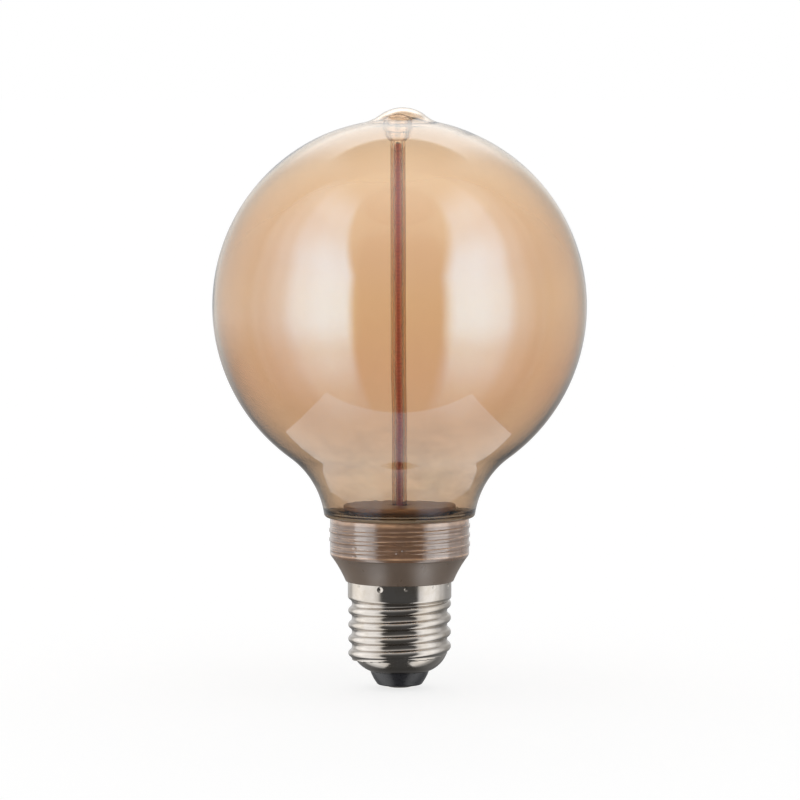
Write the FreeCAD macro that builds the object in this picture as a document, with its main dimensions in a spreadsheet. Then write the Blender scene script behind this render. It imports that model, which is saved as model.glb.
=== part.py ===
import FreeCAD, Part
import Sketcher
import math
import os

# Globe bulb: an amber glass globe on a threaded collar and a screw cap.
# Millimetres and degrees, +Z up along the axis of symmetry, origin at the centre of the contact's
# underside. The front of the lamp looks along -Y.

SIZES = {
    # Screw cap
    "cap_band_diameter": 26.4,
    "cap_wall": 0.35,
    "cap_height": 23.0,
    "cap_band_height": 4.2,
    "cap_band_taper": 1.3,
    "thread_crest_diameter": 26.2,
    "thread_root_diameter": 24.2,
    "thread_pitch": 3.629,
    "thread_crest_width": 0.9,
    "thread_shoulder_drop": 0.25,
    "thread_shoulder_width": 0.125,
    "thread_root_gap": 0.75,
    "thread_start_height": 4.5,
    "thread_end_drop": 2.895,
    "thread_fade": 2.5,
    "cap_dome_height": 4.6,
    "cap_dome_radius": 7.5,
    "cap_lip_diameter": 15.2,
    "dimple_count": 12,
    "dimple_radius": 0.9,
    "dimple_depth": 0.18,
    "dimple_drop": 0.9,
    # Insulator and centre contact
    "insulator_height": 3.6,
    "insulator_foot_diameter": 9.0,
    "insulator_bulge_radius": 7.2,
    "insulator_flange_diameter": 18.0,
    "insulator_flange_top": 2.2,
    "contact_diameter": 8.5,
    "contact_thickness": 0.6,
    "contact_flat_diameter": 5.2,
    "contact_edge_thickness": 0.15,
    "contact_stem_diameter": 2.2,
    "contact_stem_stand": 0.3,
    "contact_bore": 0.9,
    # Collar
    "collar_height": 16.3,
    "ring_wall": 0.9,
    "collar_overhang": 0.55,
    "collar_lip_width": 0.35,
    "collar_lip_height": 0.8,
    "collar_cone_inset": 0.5,
    "collar_cone_height": 6.1,
    "collar_cone_radius": 30.0,
    "collar_corner_height": 1.1,
    "collar_corner_radius": 1.6,
    "collar_edge": 0.3,
    "collar_thread_pitch": 2.35,
    "collar_thread_turns": 2.9,
    "collar_thread_start": 8.3,
    "collar_thread_width": 1.1,
    "collar_thread_flank": 0.25,
    "collar_thread_depth": 0.15,
    "spigot_depth": 4.2,
    "spigot_wall": 2.0,
    "spigot_cone_height": 3.0,
    "glass_ledge_height": 9.4,
    "glass_ledge_margin": 0.2,
    "platform_ledge_height": 7.4,
    "platform_ledge_width": 2.1,
    "board_groove_depth": 0.5,
    "board_groove_top": 1.5,
    # Globe
    "globe_diameter": 95.0,
    "glass_wall": 0.9,
    "neck_waist_diameter": 38.0,
    "neck_sweep_radius": 22.0,
    "neck_waist_drop": 2.4,
    "neck_bead_radius": 1.0,
    "neck_foot_diameter": 32.8,
    "nipple_height": 2.8,
    "nipple_tip_radius": 9.5,
    "nipple_flank_radius": 9.0,
    "cement_gap": 0.4,
    "cement_margin": 0.7,
    # Platform in the neck
    "disc_diameter": 28.6,
    "disc_thickness": 1.2,
    "disc_rise": 3.4,
    "disc_edge": 0.4,
    "skirt_inset": 0.4,
    "skirt_wall": 1.2,
    "flange_thickness": 1.5,
    "socket_wall": 1.3,
    "socket_depth": 4.8,
    "socket_floor": 0.8,
    "socket_wire_hole": 2.4,
    # Filament tube
    "tube_diameter": 3.8,
    "tube_bore": 1.9,
    "tube_lean": 0.26,
    "crown_gap": 0.6,
    "bushing_wall": 1.0,
    "head_bowl_height": 1.4,
    "head_bowl_radius": 2.2,
    "head_ring_diameter": 6.7,
    "head_ring_height": 1.2,
    "head_step_diameter": 7.6,
    "head_step_height": 2.8,
    "head_dome_diameter": 6.8,
    "head_dome_height": 1.6,
    "head_wall": 1.2,
    "seal_height": 2.5,
    # Filament
    "filament_offset": 0.12,
    "filament_depth": 0.15,
    "coating_width": 1.1,
    "coating_thickness": 0.7,
    "coating_foot_gap": 1.2,
    "coating_top_gap": 0.6,
    "substrate_width": 0.7,
    "substrate_thickness": 0.3,
    "lug_thickness": 0.35,
    "lug_width": 0.9,
    "upper_lug_drop": 0.4,
    "filament_wire_diameter": 0.24,
    # Circuit board
    "board_thickness": 1.0,
    "board_foot_stand": 3.5,
    "board_head_gap": 3.1,
    "board_head_width": 19.6,
    "board_grip": 2.0,
    "notch_width": 3.4,
    "notch_clearance": 2.2,
    "slit_width": 0.8,
    "slit_height": 2.6,
    # Components: a rise is above the board's foot, and a drop is below its head
    "capacitor_diameter": 8.0,
    "capacitor_height": 12.0,
    "capacitor_offset": 4.6,
    "capacitor_rise": 1.0,
    "capacitor_rim": 0.3,
    "capacitor_groove_height": 1.6,
    "capacitor_lead_spacing": 3.5,
    "capacitor_lead_width": 0.6,
    "choke_diameter": 7.0,
    "choke_core_diameter": 3.0,
    "choke_height": 8.0,
    "choke_flange": 1.2,
    "choke_winding_diameter": 6.2,
    "choke_offset": 4.9,
    "choke_rise": 3.0,
    "rectifier_width": 4.0,
    "rectifier_length": 4.8,
    "rectifier_height": 2.4,
    "rectifier_rise": 8.0,
    "rectifier_offset": 5.6,
    "chip_width": 3.9,
    "chip_length": 4.9,
    "chip_height": 1.5,
    "chip_drop": 5.1,
    "lead_reach": 0.9,
    "lead_width": 0.5,
    "lead_thickness": 0.3,
    "rectifier_lead_count": 2,
    "rectifier_lead_pitch": 2.54,
    "chip_lead_count": 4,
    "chip_lead_pitch": 1.27,
    "diode_width": 2.6,
    "diode_length": 4.3,
    "diode_height": 2.1,
    "diode_drop": 3.7,
    "diode_offset": 6.2,
    "output_capacitor_width": 7.2,
    "output_capacitor_depth": 3.5,
    "output_capacitor_height": 6.5,
    "output_capacitor_drop": 3.2,
    "resistor_width": 3.2,
    "resistor_length": 1.6,
    "resistor_height": 0.6,
    "resistor_rise": 12.5,
    "resistor_offset": 5.0,
    "resistor_spacing": 2.6,
    "resistor_count": 2,
    "fuse_diameter": 2.5,
    "fuse_length": 6.0,
    "fuse_lead_diameter": 0.6,
    "fuse_seat_gap": 0.3,
    "neutral_wire_diameter": 0.6,
    "neutral_wire_bend": 1.2,
    "neutral_wire_offset": 8.2,
    "neutral_wire_drop": 3.3,
    "neutral_wire_length": 5.0,
    # Clearance between pieces that fit in one another
    "fit": 0.03,
}

SHEET = "Sizes"


class Formula:
    """A size worked out from the sheet: its value now, and the expression that keeps it in step."""

    def __init__(self, text, value):
        self.text = text
        self.value = value

    def __add__(self, other):
        other = formula(other)
        return Formula("(%s + %s)" % (self.text, other.text), self.value + other.value)

    def __sub__(self, other):
        other = formula(other)
        return Formula("(%s - %s)" % (self.text, other.text), self.value - other.value)

    def __mul__(self, other):
        other = formula(other)
        return Formula("(%s * %s)" % (self.text, other.text), self.value * other.value)

    def __truediv__(self, other):
        other = formula(other)
        return Formula("(%s / %s)" % (self.text, other.text), self.value / other.value)

    def __neg__(self):
        return Formula("(-%s)" % self.text, -self.value)


def formula(number):
    """Turn a plain number into a formula, and leave a formula as it is."""
    if isinstance(number, Formula):
        return number
    return Formula(repr(number), number)


def root(inside):
    return Formula("sqrt(%s)" % inside.text, math.sqrt(inside.value))


def squared(side):
    return side * side


def slope_angle(rise, run):
    angle = math.degrees(math.atan(rise.value / run.value))
    return Formula("atan(%s / %s)" % (rise.text, run.text), angle)


class Sheet:
    """The spreadsheet of driving sizes, read by name as formulas."""

    def __init__(self, document):
        self.cells = document.addObject("Spreadsheet::Sheet", SHEET)
        for row, (alias, number) in enumerate(SIZES.items(), start=1):
            self.cells.set("A%d" % row, alias)
            self.cells.set("B%d" % row, str(number))
            self.cells.setAlias("B%d" % row, alias)

    def __getattr__(self, alias):
        return Formula("%s.%s" % (SHEET, alias), float(SIZES[alias]))


doc = FreeCAD.newDocument("globe_bulb")
s = Sheet(doc)
doc.recompute()

# Heights of the seats along the axis.
insulator_foot = s.contact_thickness
cap_lip = insulator_foot + s.insulator_height
cap_rim = cap_lip + s.cap_height
collar_top = cap_rim + s.collar_height
disc_top = collar_top + s.disc_rise
tube_foot = disc_top - s.socket_depth + s.fit
stem_top = cap_lip + s.insulator_flange_top + s.contact_stem_stand
fuse_foot = stem_top + s.fuse_seat_gap
fuse_top = fuse_foot + s.fuse_length
board_foot = stem_top + s.board_foot_stand
board_top = disc_top - s.socket_depth - s.socket_floor - s.board_head_gap
notch_top = fuse_top + s.notch_clearance
slit_top = notch_top + s.slit_height

# Radii that more than one piece uses.
band_radius = s.cap_band_diameter / 2
thread_root = s.thread_root_diameter / 2
thread_crest = s.thread_crest_diameter / 2
lip_radius = s.cap_lip_diameter / 2
spigot_radius = band_radius - s.cap_wall - s.fit
spigot_bore = spigot_radius - s.spigot_wall
foot_radius = s.neck_foot_diameter / 2
collar_bore = foot_radius + s.cement_gap
ring_radius = collar_bore + s.ring_wall
glass_ledge = foot_radius - s.glass_wall - s.glass_ledge_margin
platform_ledge = glass_ledge - s.platform_ledge_width
tube_radius = s.tube_diameter / 2
socket_radius = tube_radius + s.bushing_wall

# The board stands in the plane of the axis, and its two faces carry the components.
board_face = s.board_thickness / 2
board_half_width = spigot_bore + s.board_groove_depth - s.fit
FRONT = -1
BACK = 1


# Features

def bind(item, prop, size):
    """Tie a property to a formula of the sheet's sizes."""
    item.setExpression(prop, formula(size).text)


def place(item, x=0, y=0, z=0):
    """Seat a piece at a point of the lamp's frame."""
    x, y, z = formula(x), formula(y), formula(z)
    item.Placement = FreeCAD.Placement(FreeCAD.Vector(x.value, y.value, z.value), FreeCAD.Rotation())
    bind(item, "Placement.Base.x", x)
    bind(item, "Placement.Base.y", y)
    bind(item, "Placement.Base.z", z)


def lean(item):
    """Seat a piece at the tube's foot and tip it as the tube leans, a little to the left."""
    item.Placement = FreeCAD.Placement(FreeCAD.Vector(0, 0, tube_foot.value),
                                       FreeCAD.Rotation(FreeCAD.Vector(0, -1, 0), s.tube_lean.value))
    bind(item, "Placement.Rotation.Angle", s.tube_lean)
    bind(item, "Placement.Base.z", tube_foot)


def new_body(label):
    body = doc.addObject("PartDesign::Body", label)
    body.Label = label
    return body


def origin_feature(body, role):
    return [item for item in body.Origin.OriginFeatures if item.Role == role][0]


def sketch_on(body, name, plane, offset=0):
    """Make a sketch on one of the body's origin planes, or at an offset along its normal."""
    sketch = body.newObject("Sketcher::SketchObject", name)
    sketch.AttachmentSupport = [(origin_feature(body, plane), "")]
    sketch.MapMode = "FlatFace"
    sketch.AttachmentOffset.Base.z = formula(offset).value
    bind(sketch, "AttachmentOffset.Base.z", offset)
    sketch.Visibility = False
    return sketch


def arc_between(start, end, radius, turn):
    """The short arc from start to end; turn is 1 for anticlockwise travel and -1 for clockwise."""
    chord = end - start
    middle = (start + end) * 0.5
    left = FreeCAD.Vector(-chord.y, chord.x, 0).normalize()
    reach = math.sqrt(radius ** 2 - (chord.Length / 2) ** 2)
    centre = middle + left * reach * turn
    first, last = (start, end) if turn > 0 else (end, start)
    first_angle = math.atan2(first.y - centre.y, first.x - centre.x)
    last_angle = math.atan2(last.y - centre.y, last.x - centre.x)
    if last_angle < first_angle:
        last_angle += 2 * math.pi
    circle = Part.Circle(centre, FreeCAD.Vector(0, 0, 1), radius)
    return Part.ArcOfCircle(circle, first_angle, last_angle)


def line(x, y):
    """A straight step of an outline, to a point."""
    return {"x": formula(x), "y": formula(y), "radius": None}


def arc(x, y, radius, turn):
    """A round step of an outline, to a point."""
    return {"x": formula(x), "y": formula(y), "radius": formula(radius), "turn": turn}


def pin(sketch, item, spot, x, y):
    """Hold one point of a sketch at its formulas."""
    for kind, size in (("DistanceX", formula(x)), ("DistanceY", formula(y))):
        index = sketch.addConstraint(Sketcher.Constraint(kind, -1, 1, item, spot, size.value))
        bind(sketch, "Constraints[%d]" % index, size)


def hold_radius(sketch, item, radius):
    index = sketch.addConstraint(Sketcher.Constraint("Radius", item, radius.value))
    bind(sketch, "Constraints[%d]" % index, radius)


def add_outline(sketch, steps, closed=True):
    """Draw an outline through the steps' points; a closed one starts where its last step ends."""
    start_spot, end_spot = 1, 2
    edges = []
    first_step = 0 if closed else 1
    for index in range(first_step, len(steps)):
        before, step = steps[index - 1], steps[index]
        start = FreeCAD.Vector(before["x"].value, before["y"].value, 0)
        end = FreeCAD.Vector(step["x"].value, step["y"].value, 0)
        if step["radius"] is None:
            edge = (sketch.addGeometry(Part.LineSegment(start, end)), start_spot, end_spot)
        else:
            item = sketch.addGeometry(arc_between(start, end, step["radius"].value, step["turn"]))
            forward = step["turn"] > 0
            edge = (item, start_spot, end_spot) if forward else (item, end_spot, start_spot)
            hold_radius(sketch, item, step["radius"])
        edges.append(edge)
    for index, (item, head, tail) in enumerate(edges):
        if closed or index:
            before_item, _before_head, before_tail = edges[index - 1]
            sketch.addConstraint(Sketcher.Constraint("Coincident", before_item, before_tail, item, head))
        step = steps[index + first_step]
        pin(sketch, item, tail, step["x"], step["y"])
    if not closed:
        pin(sketch, edges[0][0], edges[0][1], steps[0]["x"], steps[0]["y"])


def polygon(points):
    return [line(x, y) for x, y in points]


def rectangle(x, y, width, depth):
    """Outline of a rectangle about its centre."""
    x, y = formula(x), formula(y)
    across, along = formula(width) / 2, formula(depth) / 2
    return polygon([(x - across, y - along), (x + across, y - along),
                    (x + across, y + along), (x - across, y + along)])


def add_disc(sketch, x, y, radius):
    """Draw a full circle about a point."""
    x, y, radius = formula(x), formula(y), formula(radius)
    centre_spot = 3
    centre = FreeCAD.Vector(x.value, y.value, 0)
    item = sketch.addGeometry(Part.Circle(centre, FreeCAD.Vector(0, 0, 1), radius.value))
    pin(sketch, item, centre_spot, x, y)
    hold_radius(sketch, item, radius)


def turned(body, name, steps, kind="PartDesign::Revolution"):
    """Turn an outline of radius and height about the axis."""
    sketch = sketch_on(body, name + "_profile", "XZ_Plane")
    add_outline(sketch, steps)
    feature = body.newObject(kind, name)
    feature.Profile = sketch
    feature.ReferenceAxis = (sketch, ["V_Axis"])
    feature.Angle = 360
    return feature


def raised(body, name, outlines, foot, height, discs=()):
    """Raise outlines and discs, drawn in plan, from a foot up to a height above it."""
    sketch = sketch_on(body, name + "_plan", "XY_Plane", foot)
    for steps in outlines:
        add_outline(sketch, steps)
    for x, y, radius in discs:
        add_disc(sketch, x, y, radius)
    feature = body.newObject("PartDesign::Pad", name)
    feature.Profile = sketch
    feature.Length = formula(height).value
    bind(feature, "Length", height)
    return feature


def cut_through(body, name, steps, width):
    """Cut an outline drawn in front view, half of the width to each side of the axis."""
    sketch = sketch_on(body, name + "_outline", "XZ_Plane", formula(width) / 2)
    add_outline(sketch, steps)
    before = body.Shape.Volume
    feature = body.newObject("PartDesign::Pocket", name)
    feature.Profile = sketch
    feature.Length = formula(width).value
    bind(feature, "Length", width)
    doc.recompute()
    if not body.Shape.Volume < before:
        raise ValueError("%s cuts nothing" % name)
    return feature


def coiled(body, name, section, pitch, climb, kind="PartDesign::AdditiveHelix", narrowing=None):
    """Wind a section, given as radius and height at the lamp's left, up a helix about the axis.

    With a narrowing it winds down instead, towards the axis at that angle.
    """
    sketch = sketch_on(body, name + "_profile", "XZ_Plane")
    add_outline(sketch, polygon([(-radius, height) for radius, height in section]))
    feature = body.newObject(kind, name)
    feature.Profile = sketch
    feature.ReferenceAxis = (sketch, ["V_Axis"])
    feature.Mode = "pitch-height-angle"
    feature.Pitch = pitch.value
    feature.Height = climb.value
    bind(feature, "Pitch", pitch)
    bind(feature, "Height", climb)
    if narrowing is not None:
        feature.Reversed = True
        feature.Angle = -narrowing.value
        bind(feature, "Angle", -narrowing)
    return feature


# Screw cap

def dome_height(radius, depth):
    """Height above the lip of the cap's dome at a radius, for a surface at a depth in its wall."""
    across = thread_root - lip_radius
    up = s.cap_dome_height
    chord = root(squared(across) + squared(up))
    reach = root(squared(s.cap_dome_radius) - squared(chord / 2))
    centre_x = (lip_radius + thread_root) / 2 - reach * up / chord
    centre_y = up / 2 + reach * across / chord
    return centre_y - root(squared(s.cap_dome_radius - depth) - squared(radius - centre_x))


def thread_section(depth):
    """One ridge of the rolled thread about its crest's height, for a surface at a depth in the wall."""
    root_radius = thread_root - depth
    crest_radius = thread_crest - depth
    half_root = (s.thread_pitch - s.thread_root_gap) / 2
    half_crest = s.thread_crest_width / 2
    shoulder_radius = crest_radius - s.thread_shoulder_drop
    half_shoulder = half_crest + s.thread_shoulder_width
    middle = s.thread_start_height
    return [
        (lip_radius, middle - half_root),
        (root_radius, middle - half_root),
        (shoulder_radius, middle - half_shoulder),
        (crest_radius, middle - half_crest),
        (crest_radius, middle + half_crest),
        (shoulder_radius, middle + half_shoulder),
        (root_radius, middle + half_root),
        (lip_radius, middle + half_root),
    ]


def cap_side(depth):
    """The steps from the dome up the thread's root and the plain band to the rim."""
    band_foot = s.cap_height - s.cap_band_height
    return [
        arc(thread_root - depth, dome_height(thread_root - depth, formula(depth)),
            s.cap_dome_radius - depth, 1),
        line(thread_root - depth, band_foot - s.cap_band_taper),
        line(band_radius - depth, band_foot),
        line(band_radius - depth, s.cap_height),
        line(0, s.cap_height),
        line(0, 0),
    ]


def wind_thread(body, name, depth, kind):
    """The thread's turns up to the band, and half a turn below them that fades into the dome."""
    section = thread_section(formula(depth))
    climb = s.cap_height - s.thread_end_drop - s.thread_start_height
    half_turn = s.thread_pitch / 2
    coiled(body, name, section, s.thread_pitch, climb, kind)
    coiled(body, name + "_fade", section, s.thread_pitch, half_turn, kind,
           slope_angle(s.thread_fade, half_turn))


def make_cap_shell():
    """Rolled sheet cap, in its own frame with the lip's lower edge at zero."""
    body = new_body("cap_shell")
    wall = s.cap_wall
    hole = lip_radius - wall
    turned(body, "shell_outside", [line(lip_radius, 0)] + cap_side(formula(0)))
    wind_thread(body, "thread", 0, "PartDesign::AdditiveHelix")
    turned(body, "shell_inside", [
        line(hole, 0),
        line(hole, dome_height(hole, wall)),
    ] + cap_side(wall), "PartDesign::Groove")
    wind_thread(body, "inner_thread", wall, "PartDesign::SubtractiveHelix")
    add_dimples(body)
    place(body, z=cap_lip)


def add_dimples(body):
    """Crimp marks punched into the band all round, just under its rim."""
    punch = body.newObject("PartDesign::SubtractiveSphere", "dimple")
    punch.AttachmentSupport = [(origin_feature(body, "XY_Plane"), "")]
    punch.MapMode = "FlatFace"
    punch.Radius = s.dimple_radius.value
    bind(punch, "Radius", s.dimple_radius)
    bind(punch, "AttachmentOffset.Base.x", band_radius + s.dimple_radius - s.dimple_depth)
    bind(punch, "AttachmentOffset.Base.z", s.cap_height - s.dimple_drop)
    doc.recompute()
    pattern = body.newObject("PartDesign::PolarPattern", "dimples")
    pattern.Originals = [punch]
    pattern.Axis = (origin_feature(body, "Z_Axis"), [""])
    pattern.Angle = 360
    bind(pattern, "Occurrences", s.dimple_count)
    body.Tip = pattern


def make_cap_insulator():
    """Black cone under the lip, with a flange inside that the dome grips."""
    body = new_body("cap_insulator")
    hole = s.contact_stem_diameter / 2 + s.fit
    height = s.insulator_height
    throat = lip_radius - s.cap_wall - s.fit
    flange = s.insulator_flange_diameter / 2
    gap = s.cap_wall + s.fit
    turned(body, "insulator", [
        line(hole, 0),
        line(s.insulator_foot_diameter / 2, 0),
        arc(lip_radius, height, s.insulator_bulge_radius, 1),
        line(throat, height),
        line(throat, height + dome_height(throat, gap)),
        arc(flange, height + dome_height(flange, gap), s.cap_dome_radius - gap, 1),
        line(flange, height + s.insulator_flange_top),
        line(hole, height + s.insulator_flange_top),
    ])
    place(body, z=insulator_foot)


def make_centre_contact():
    """Contact disc with a flat underside, and its hollow stem up through the insulator."""
    body = new_body("centre_contact")
    edge = s.contact_diameter / 2
    stem = s.contact_stem_diameter / 2
    bore = s.contact_bore / 2
    turned(body, "contact", polygon([
        (0, 0),
        (s.contact_flat_diameter / 2, 0),
        (edge, s.contact_thickness - s.contact_edge_thickness),
        (edge, s.contact_thickness),
        (stem, s.contact_thickness),
        (stem, stem_top),
        (bore, stem_top),
        (bore, s.contact_thickness),
        (0, s.contact_thickness),
    ]))
    place(body)


# Collar

def collar_thread_section():
    """A low flat ridge that stands out of the collar's ring."""
    half_width = s.collar_thread_width / 2
    half_crest = half_width - s.collar_thread_flank
    crest = ring_radius + s.collar_thread_depth
    buried = ring_radius - s.ring_wall / 2
    middle = s.collar_thread_start
    return [
        (buried, middle - half_width),
        (ring_radius, middle - half_width),
        (crest, middle - half_crest),
        (crest, middle + half_crest),
        (ring_radius, middle + half_width),
        (buried, middle + half_width),
    ]


def make_collar():
    """One moulding: spigot in the cap, cone, threaded ring, and two ledges inside."""
    body = new_body("collar")
    seat = band_radius + s.collar_overhang
    cone = ring_radius - s.collar_cone_inset
    turned(body, "collar_wall", [
        line(spigot_radius, -s.spigot_depth),
        line(spigot_radius, 0),
        line(seat, 0),
        line(seat + s.collar_lip_width, s.collar_lip_height),
        arc(cone, s.collar_cone_height, s.collar_cone_radius, -1),
        arc(ring_radius, s.collar_cone_height + s.collar_corner_height, s.collar_corner_radius, 1),
        line(ring_radius, s.collar_height - s.collar_edge),
        line(ring_radius - s.collar_edge, s.collar_height),
        line(collar_bore, s.collar_height),
        line(collar_bore, s.glass_ledge_height),
        line(glass_ledge, s.glass_ledge_height),
        line(glass_ledge, s.platform_ledge_height),
        line(platform_ledge, s.platform_ledge_height),
        line(platform_ledge, s.spigot_cone_height),
        line(spigot_bore, 0),
        line(spigot_bore, -s.spigot_depth),
    ])
    coiled(body, "collar_thread", collar_thread_section(), s.collar_thread_pitch,
           s.collar_thread_pitch * s.collar_thread_turns)
    doc.recompute()
    groove_half = spigot_bore + s.board_groove_depth
    cut_through(body, "board_grooves", polygon([
        (-groove_half, -s.spigot_depth),
        (groove_half, -s.spigot_depth),
        (groove_half, s.board_groove_top),
        (-groove_half, s.board_groove_top),
    ]), s.board_thickness + s.fit * 2)
    place(body, z=cap_rim)


# Globe

def sweep_centre():
    """Radius of the centre of the neck's outward sweep."""
    return s.neck_waist_diameter / 2 + s.neck_sweep_radius


def sweep_radius_at(height, depth):
    """Radius of the neck's sweep at a height above the collar, for a surface at a depth in the wall."""
    inside = squared(s.neck_sweep_radius + depth) - squared(formula(height) + s.neck_waist_drop)
    return sweep_centre() - root(inside)


def globe_centre_rise():
    """Height of the globe's centre above the collar, where the neck's sweep meets it smoothly."""
    reach = s.globe_diameter / 2 + s.neck_sweep_radius
    return root(squared(reach) - squared(sweep_centre())) - s.neck_waist_drop


def globe_joints(depth):
    """Where sweep, sphere, nipple flank and nipple tip meet, and the apex, at a depth in the wall."""
    depth = formula(depth)
    centre = globe_centre_rise()
    sphere = s.globe_diameter / 2
    shell = sphere - depth
    sweep_reach = sphere + s.neck_sweep_radius
    sphere_foot = (sweep_centre() * shell / sweep_reach,
                   centre - (centre + s.neck_waist_drop) * shell / sweep_reach)
    tip_rise = sphere + s.nipple_height - s.nipple_tip_radius
    flank_reach = sphere + s.nipple_flank_radius
    tip_reach = s.nipple_tip_radius + s.nipple_flank_radius
    flank_y = (squared(flank_reach) - squared(tip_reach) + squared(tip_rise)) / (tip_rise * 2)
    flank_x = root(squared(flank_reach) - squared(flank_y))
    sphere_top = (flank_x * shell / flank_reach, centre + flank_y * shell / flank_reach)
    tip = s.nipple_tip_radius - depth
    tip_foot = (flank_x * tip / tip_reach, centre + tip_rise + (flank_y - tip_rise) * tip / tip_reach)
    apex = centre + sphere + s.nipple_height - depth
    return sphere_foot, sphere_top, tip_foot, apex


def make_globe_glass():
    """Blown globe: nipple, sphere, neck, and the foot that goes down into the collar."""
    body = new_body("globe_glass")
    wall = s.glass_wall
    bead = s.neck_bead_radius
    bead_top = sweep_radius_at(bead, 0)
    inner_bead = bead + wall
    inner_bead_top = sweep_radius_at(inner_bead, wall)
    outer_foot, outer_top, outer_tip, outer_apex = globe_joints(0)
    inner_foot, inner_top, inner_tip, inner_apex = globe_joints(wall)
    sphere = s.globe_diameter / 2
    foot_end = s.glass_ledge_height - s.collar_height + s.fit
    turned(body, "glass", [
        line(foot_radius, foot_end),
        line(foot_radius, s.fit),
        line(bead_top - bead, s.fit),
        arc(bead_top, bead, bead, 1),
        arc(*outer_foot, s.neck_sweep_radius, -1),
        arc(*outer_top, sphere, 1),
        arc(*outer_tip, s.nipple_flank_radius, -1),
        arc(0, outer_apex, s.nipple_tip_radius, 1),
        line(0, inner_apex),
        arc(*inner_tip, s.nipple_tip_radius - wall, -1),
        arc(*inner_top, s.nipple_flank_radius + wall, 1),
        arc(*inner_foot, sphere - wall, -1),
        arc(inner_bead_top, inner_bead, s.neck_sweep_radius + wall, 1),
        line(inner_bead_top - bead, wall),
        line(foot_radius - wall, wall),
        line(foot_radius - wall, foot_end),
    ])
    place(body, z=collar_top)


def make_globe_cement():
    """Ring of cement between the glass foot and the collar's bore."""
    body = new_body("globe_cement")
    foot_depth = s.collar_height - s.glass_ledge_height
    turned(body, "cement", polygon([
        (foot_radius + s.fit, s.cement_margin - foot_depth),
        (collar_bore - s.fit, s.cement_margin - foot_depth),
        (collar_bore - s.fit, -s.cement_margin),
        (foot_radius + s.fit, -s.cement_margin),
    ]))
    place(body, z=collar_top)


# Platform in the neck

def make_stem_platform():
    """Disc on a skirt whose flange stands on the collar's ledge, with a socket for the tube."""
    body = new_body("stem_platform")
    disc = s.disc_diameter / 2
    skirt = platform_ledge - s.skirt_inset
    flange = glass_ledge - s.fit
    under = -s.disc_thickness
    seat = s.platform_ledge_height - s.collar_height - s.disc_rise
    socket = socket_radius + s.socket_wall
    floor_top = -s.socket_depth
    floor = floor_top - s.socket_floor
    turned(body, "platform", [
        line(socket_radius, 0),
        line(disc - s.disc_edge, 0),
        arc(disc, -s.disc_edge, s.disc_edge, -1),
        line(disc, under),
        line(skirt, under),
        line(skirt, seat + s.flange_thickness),
        line(flange, seat + s.flange_thickness),
        line(flange, seat),
        line(skirt - s.skirt_wall, seat),
        line(skirt - s.skirt_wall, under),
        line(socket, under),
        line(socket, floor),
        line(s.socket_wire_hole / 2, floor),
        line(s.socket_wire_hole / 2, floor_top),
        line(socket_radius, floor_top),
    ])
    place(body, z=disc_top)


def make_tube_bushing():
    """Soft sleeve between the tube and the platform's socket."""
    body = new_body("tube_bushing")
    turned(body, "bushing", polygon([
        (tube_radius + s.fit, 0),
        (socket_radius - s.fit, 0),
        (socket_radius - s.fit, s.socket_depth - s.fit * 2),
        (tube_radius + s.fit, s.socket_depth - s.fit * 2),
    ]))
    place(body, z=tube_foot)


# Filament tube and what it holds, in the tube's own leaning frame

def tube_length():
    """From the tube's foot to its head, so that the head's dome stands just under the crown."""
    head = s.head_bowl_height + s.head_ring_height + s.head_step_height + s.head_dome_height
    return collar_top + globe_joints(s.glass_wall)[3] - s.crown_gap - head - tube_foot


wire_radius = s.filament_wire_diameter / 2
wire_reach = board_face + wire_radius
lower_lug_top = s.seal_height + s.lug_thickness
upper_lug_foot = tube_length() - s.upper_lug_drop - s.lug_thickness


def make_filament_tube():
    """Clear tube whose bore opens into a hollow head: a bowl, a ring, a wider step and a dome."""
    body = new_body("filament_tube")
    bore = s.tube_bore / 2
    ring = s.head_ring_diameter / 2
    step = s.head_step_diameter / 2
    dome = s.head_dome_diameter / 2
    length = tube_length()
    bowl_top = length + s.head_bowl_height
    ring_top = bowl_top + s.head_ring_height
    step_top = ring_top + s.head_step_height
    apex = step_top + s.head_dome_height
    dome_radius = (squared(dome) + squared(s.head_dome_height)) / (s.head_dome_height * 2)
    inner_dome_radius = dome_radius - s.head_wall
    inner_ring = ring - s.head_wall
    inner_step = step - s.head_wall
    inner_shoulder = root(squared(inner_dome_radius) - squared(inner_step)) + apex - dome_radius
    turned(body, "tube", [
        line(bore, 0),
        line(tube_radius, 0),
        line(tube_radius, length),
        arc(ring, bowl_top, s.head_bowl_radius, 1),
        line(ring, ring_top),
        line(step, ring_top),
        line(step, step_top),
        line(dome, step_top),
        arc(0, apex, dome_radius, 1),
        line(0, apex - s.head_wall),
        arc(inner_step, inner_shoulder, inner_dome_radius, -1),
        line(inner_step, ring_top),
        line(inner_ring, bowl_top),
        line(bore, length),
    ])
    lean(body)


def make_foot_seal():
    """Plug at the tube's foot with a hole for each of the two wires."""
    body = new_body("foot_seal")
    hole = wire_radius + s.fit
    raised(body, "seal", [], 0, s.seal_height, [
        (0, 0, s.tube_bore / 2 - s.fit),
        (0, wire_reach, hole),
        (0, -wire_reach, hole),
    ])
    lean(body)


def make_filament():
    """Strip that carries the chips, with the phosphor moulded round it between bare ends."""
    centre = (s.filament_offset, -s.filament_depth)
    length = upper_lug_foot - lower_lug_top
    strip = rectangle(*centre, s.substrate_width, s.substrate_thickness)
    substrate = new_body("filament_substrate")
    raised(substrate, "strip", [strip], lower_lug_top, length)
    lean(substrate)
    coating = new_body("filament_coating")
    sleeve = rectangle(*centre, s.coating_width, s.coating_thickness)
    raised(coating, "sleeve", [sleeve, strip], lower_lug_top + s.coating_foot_gap,
           length - s.coating_foot_gap - s.coating_top_gap)
    lean(coating)


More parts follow.
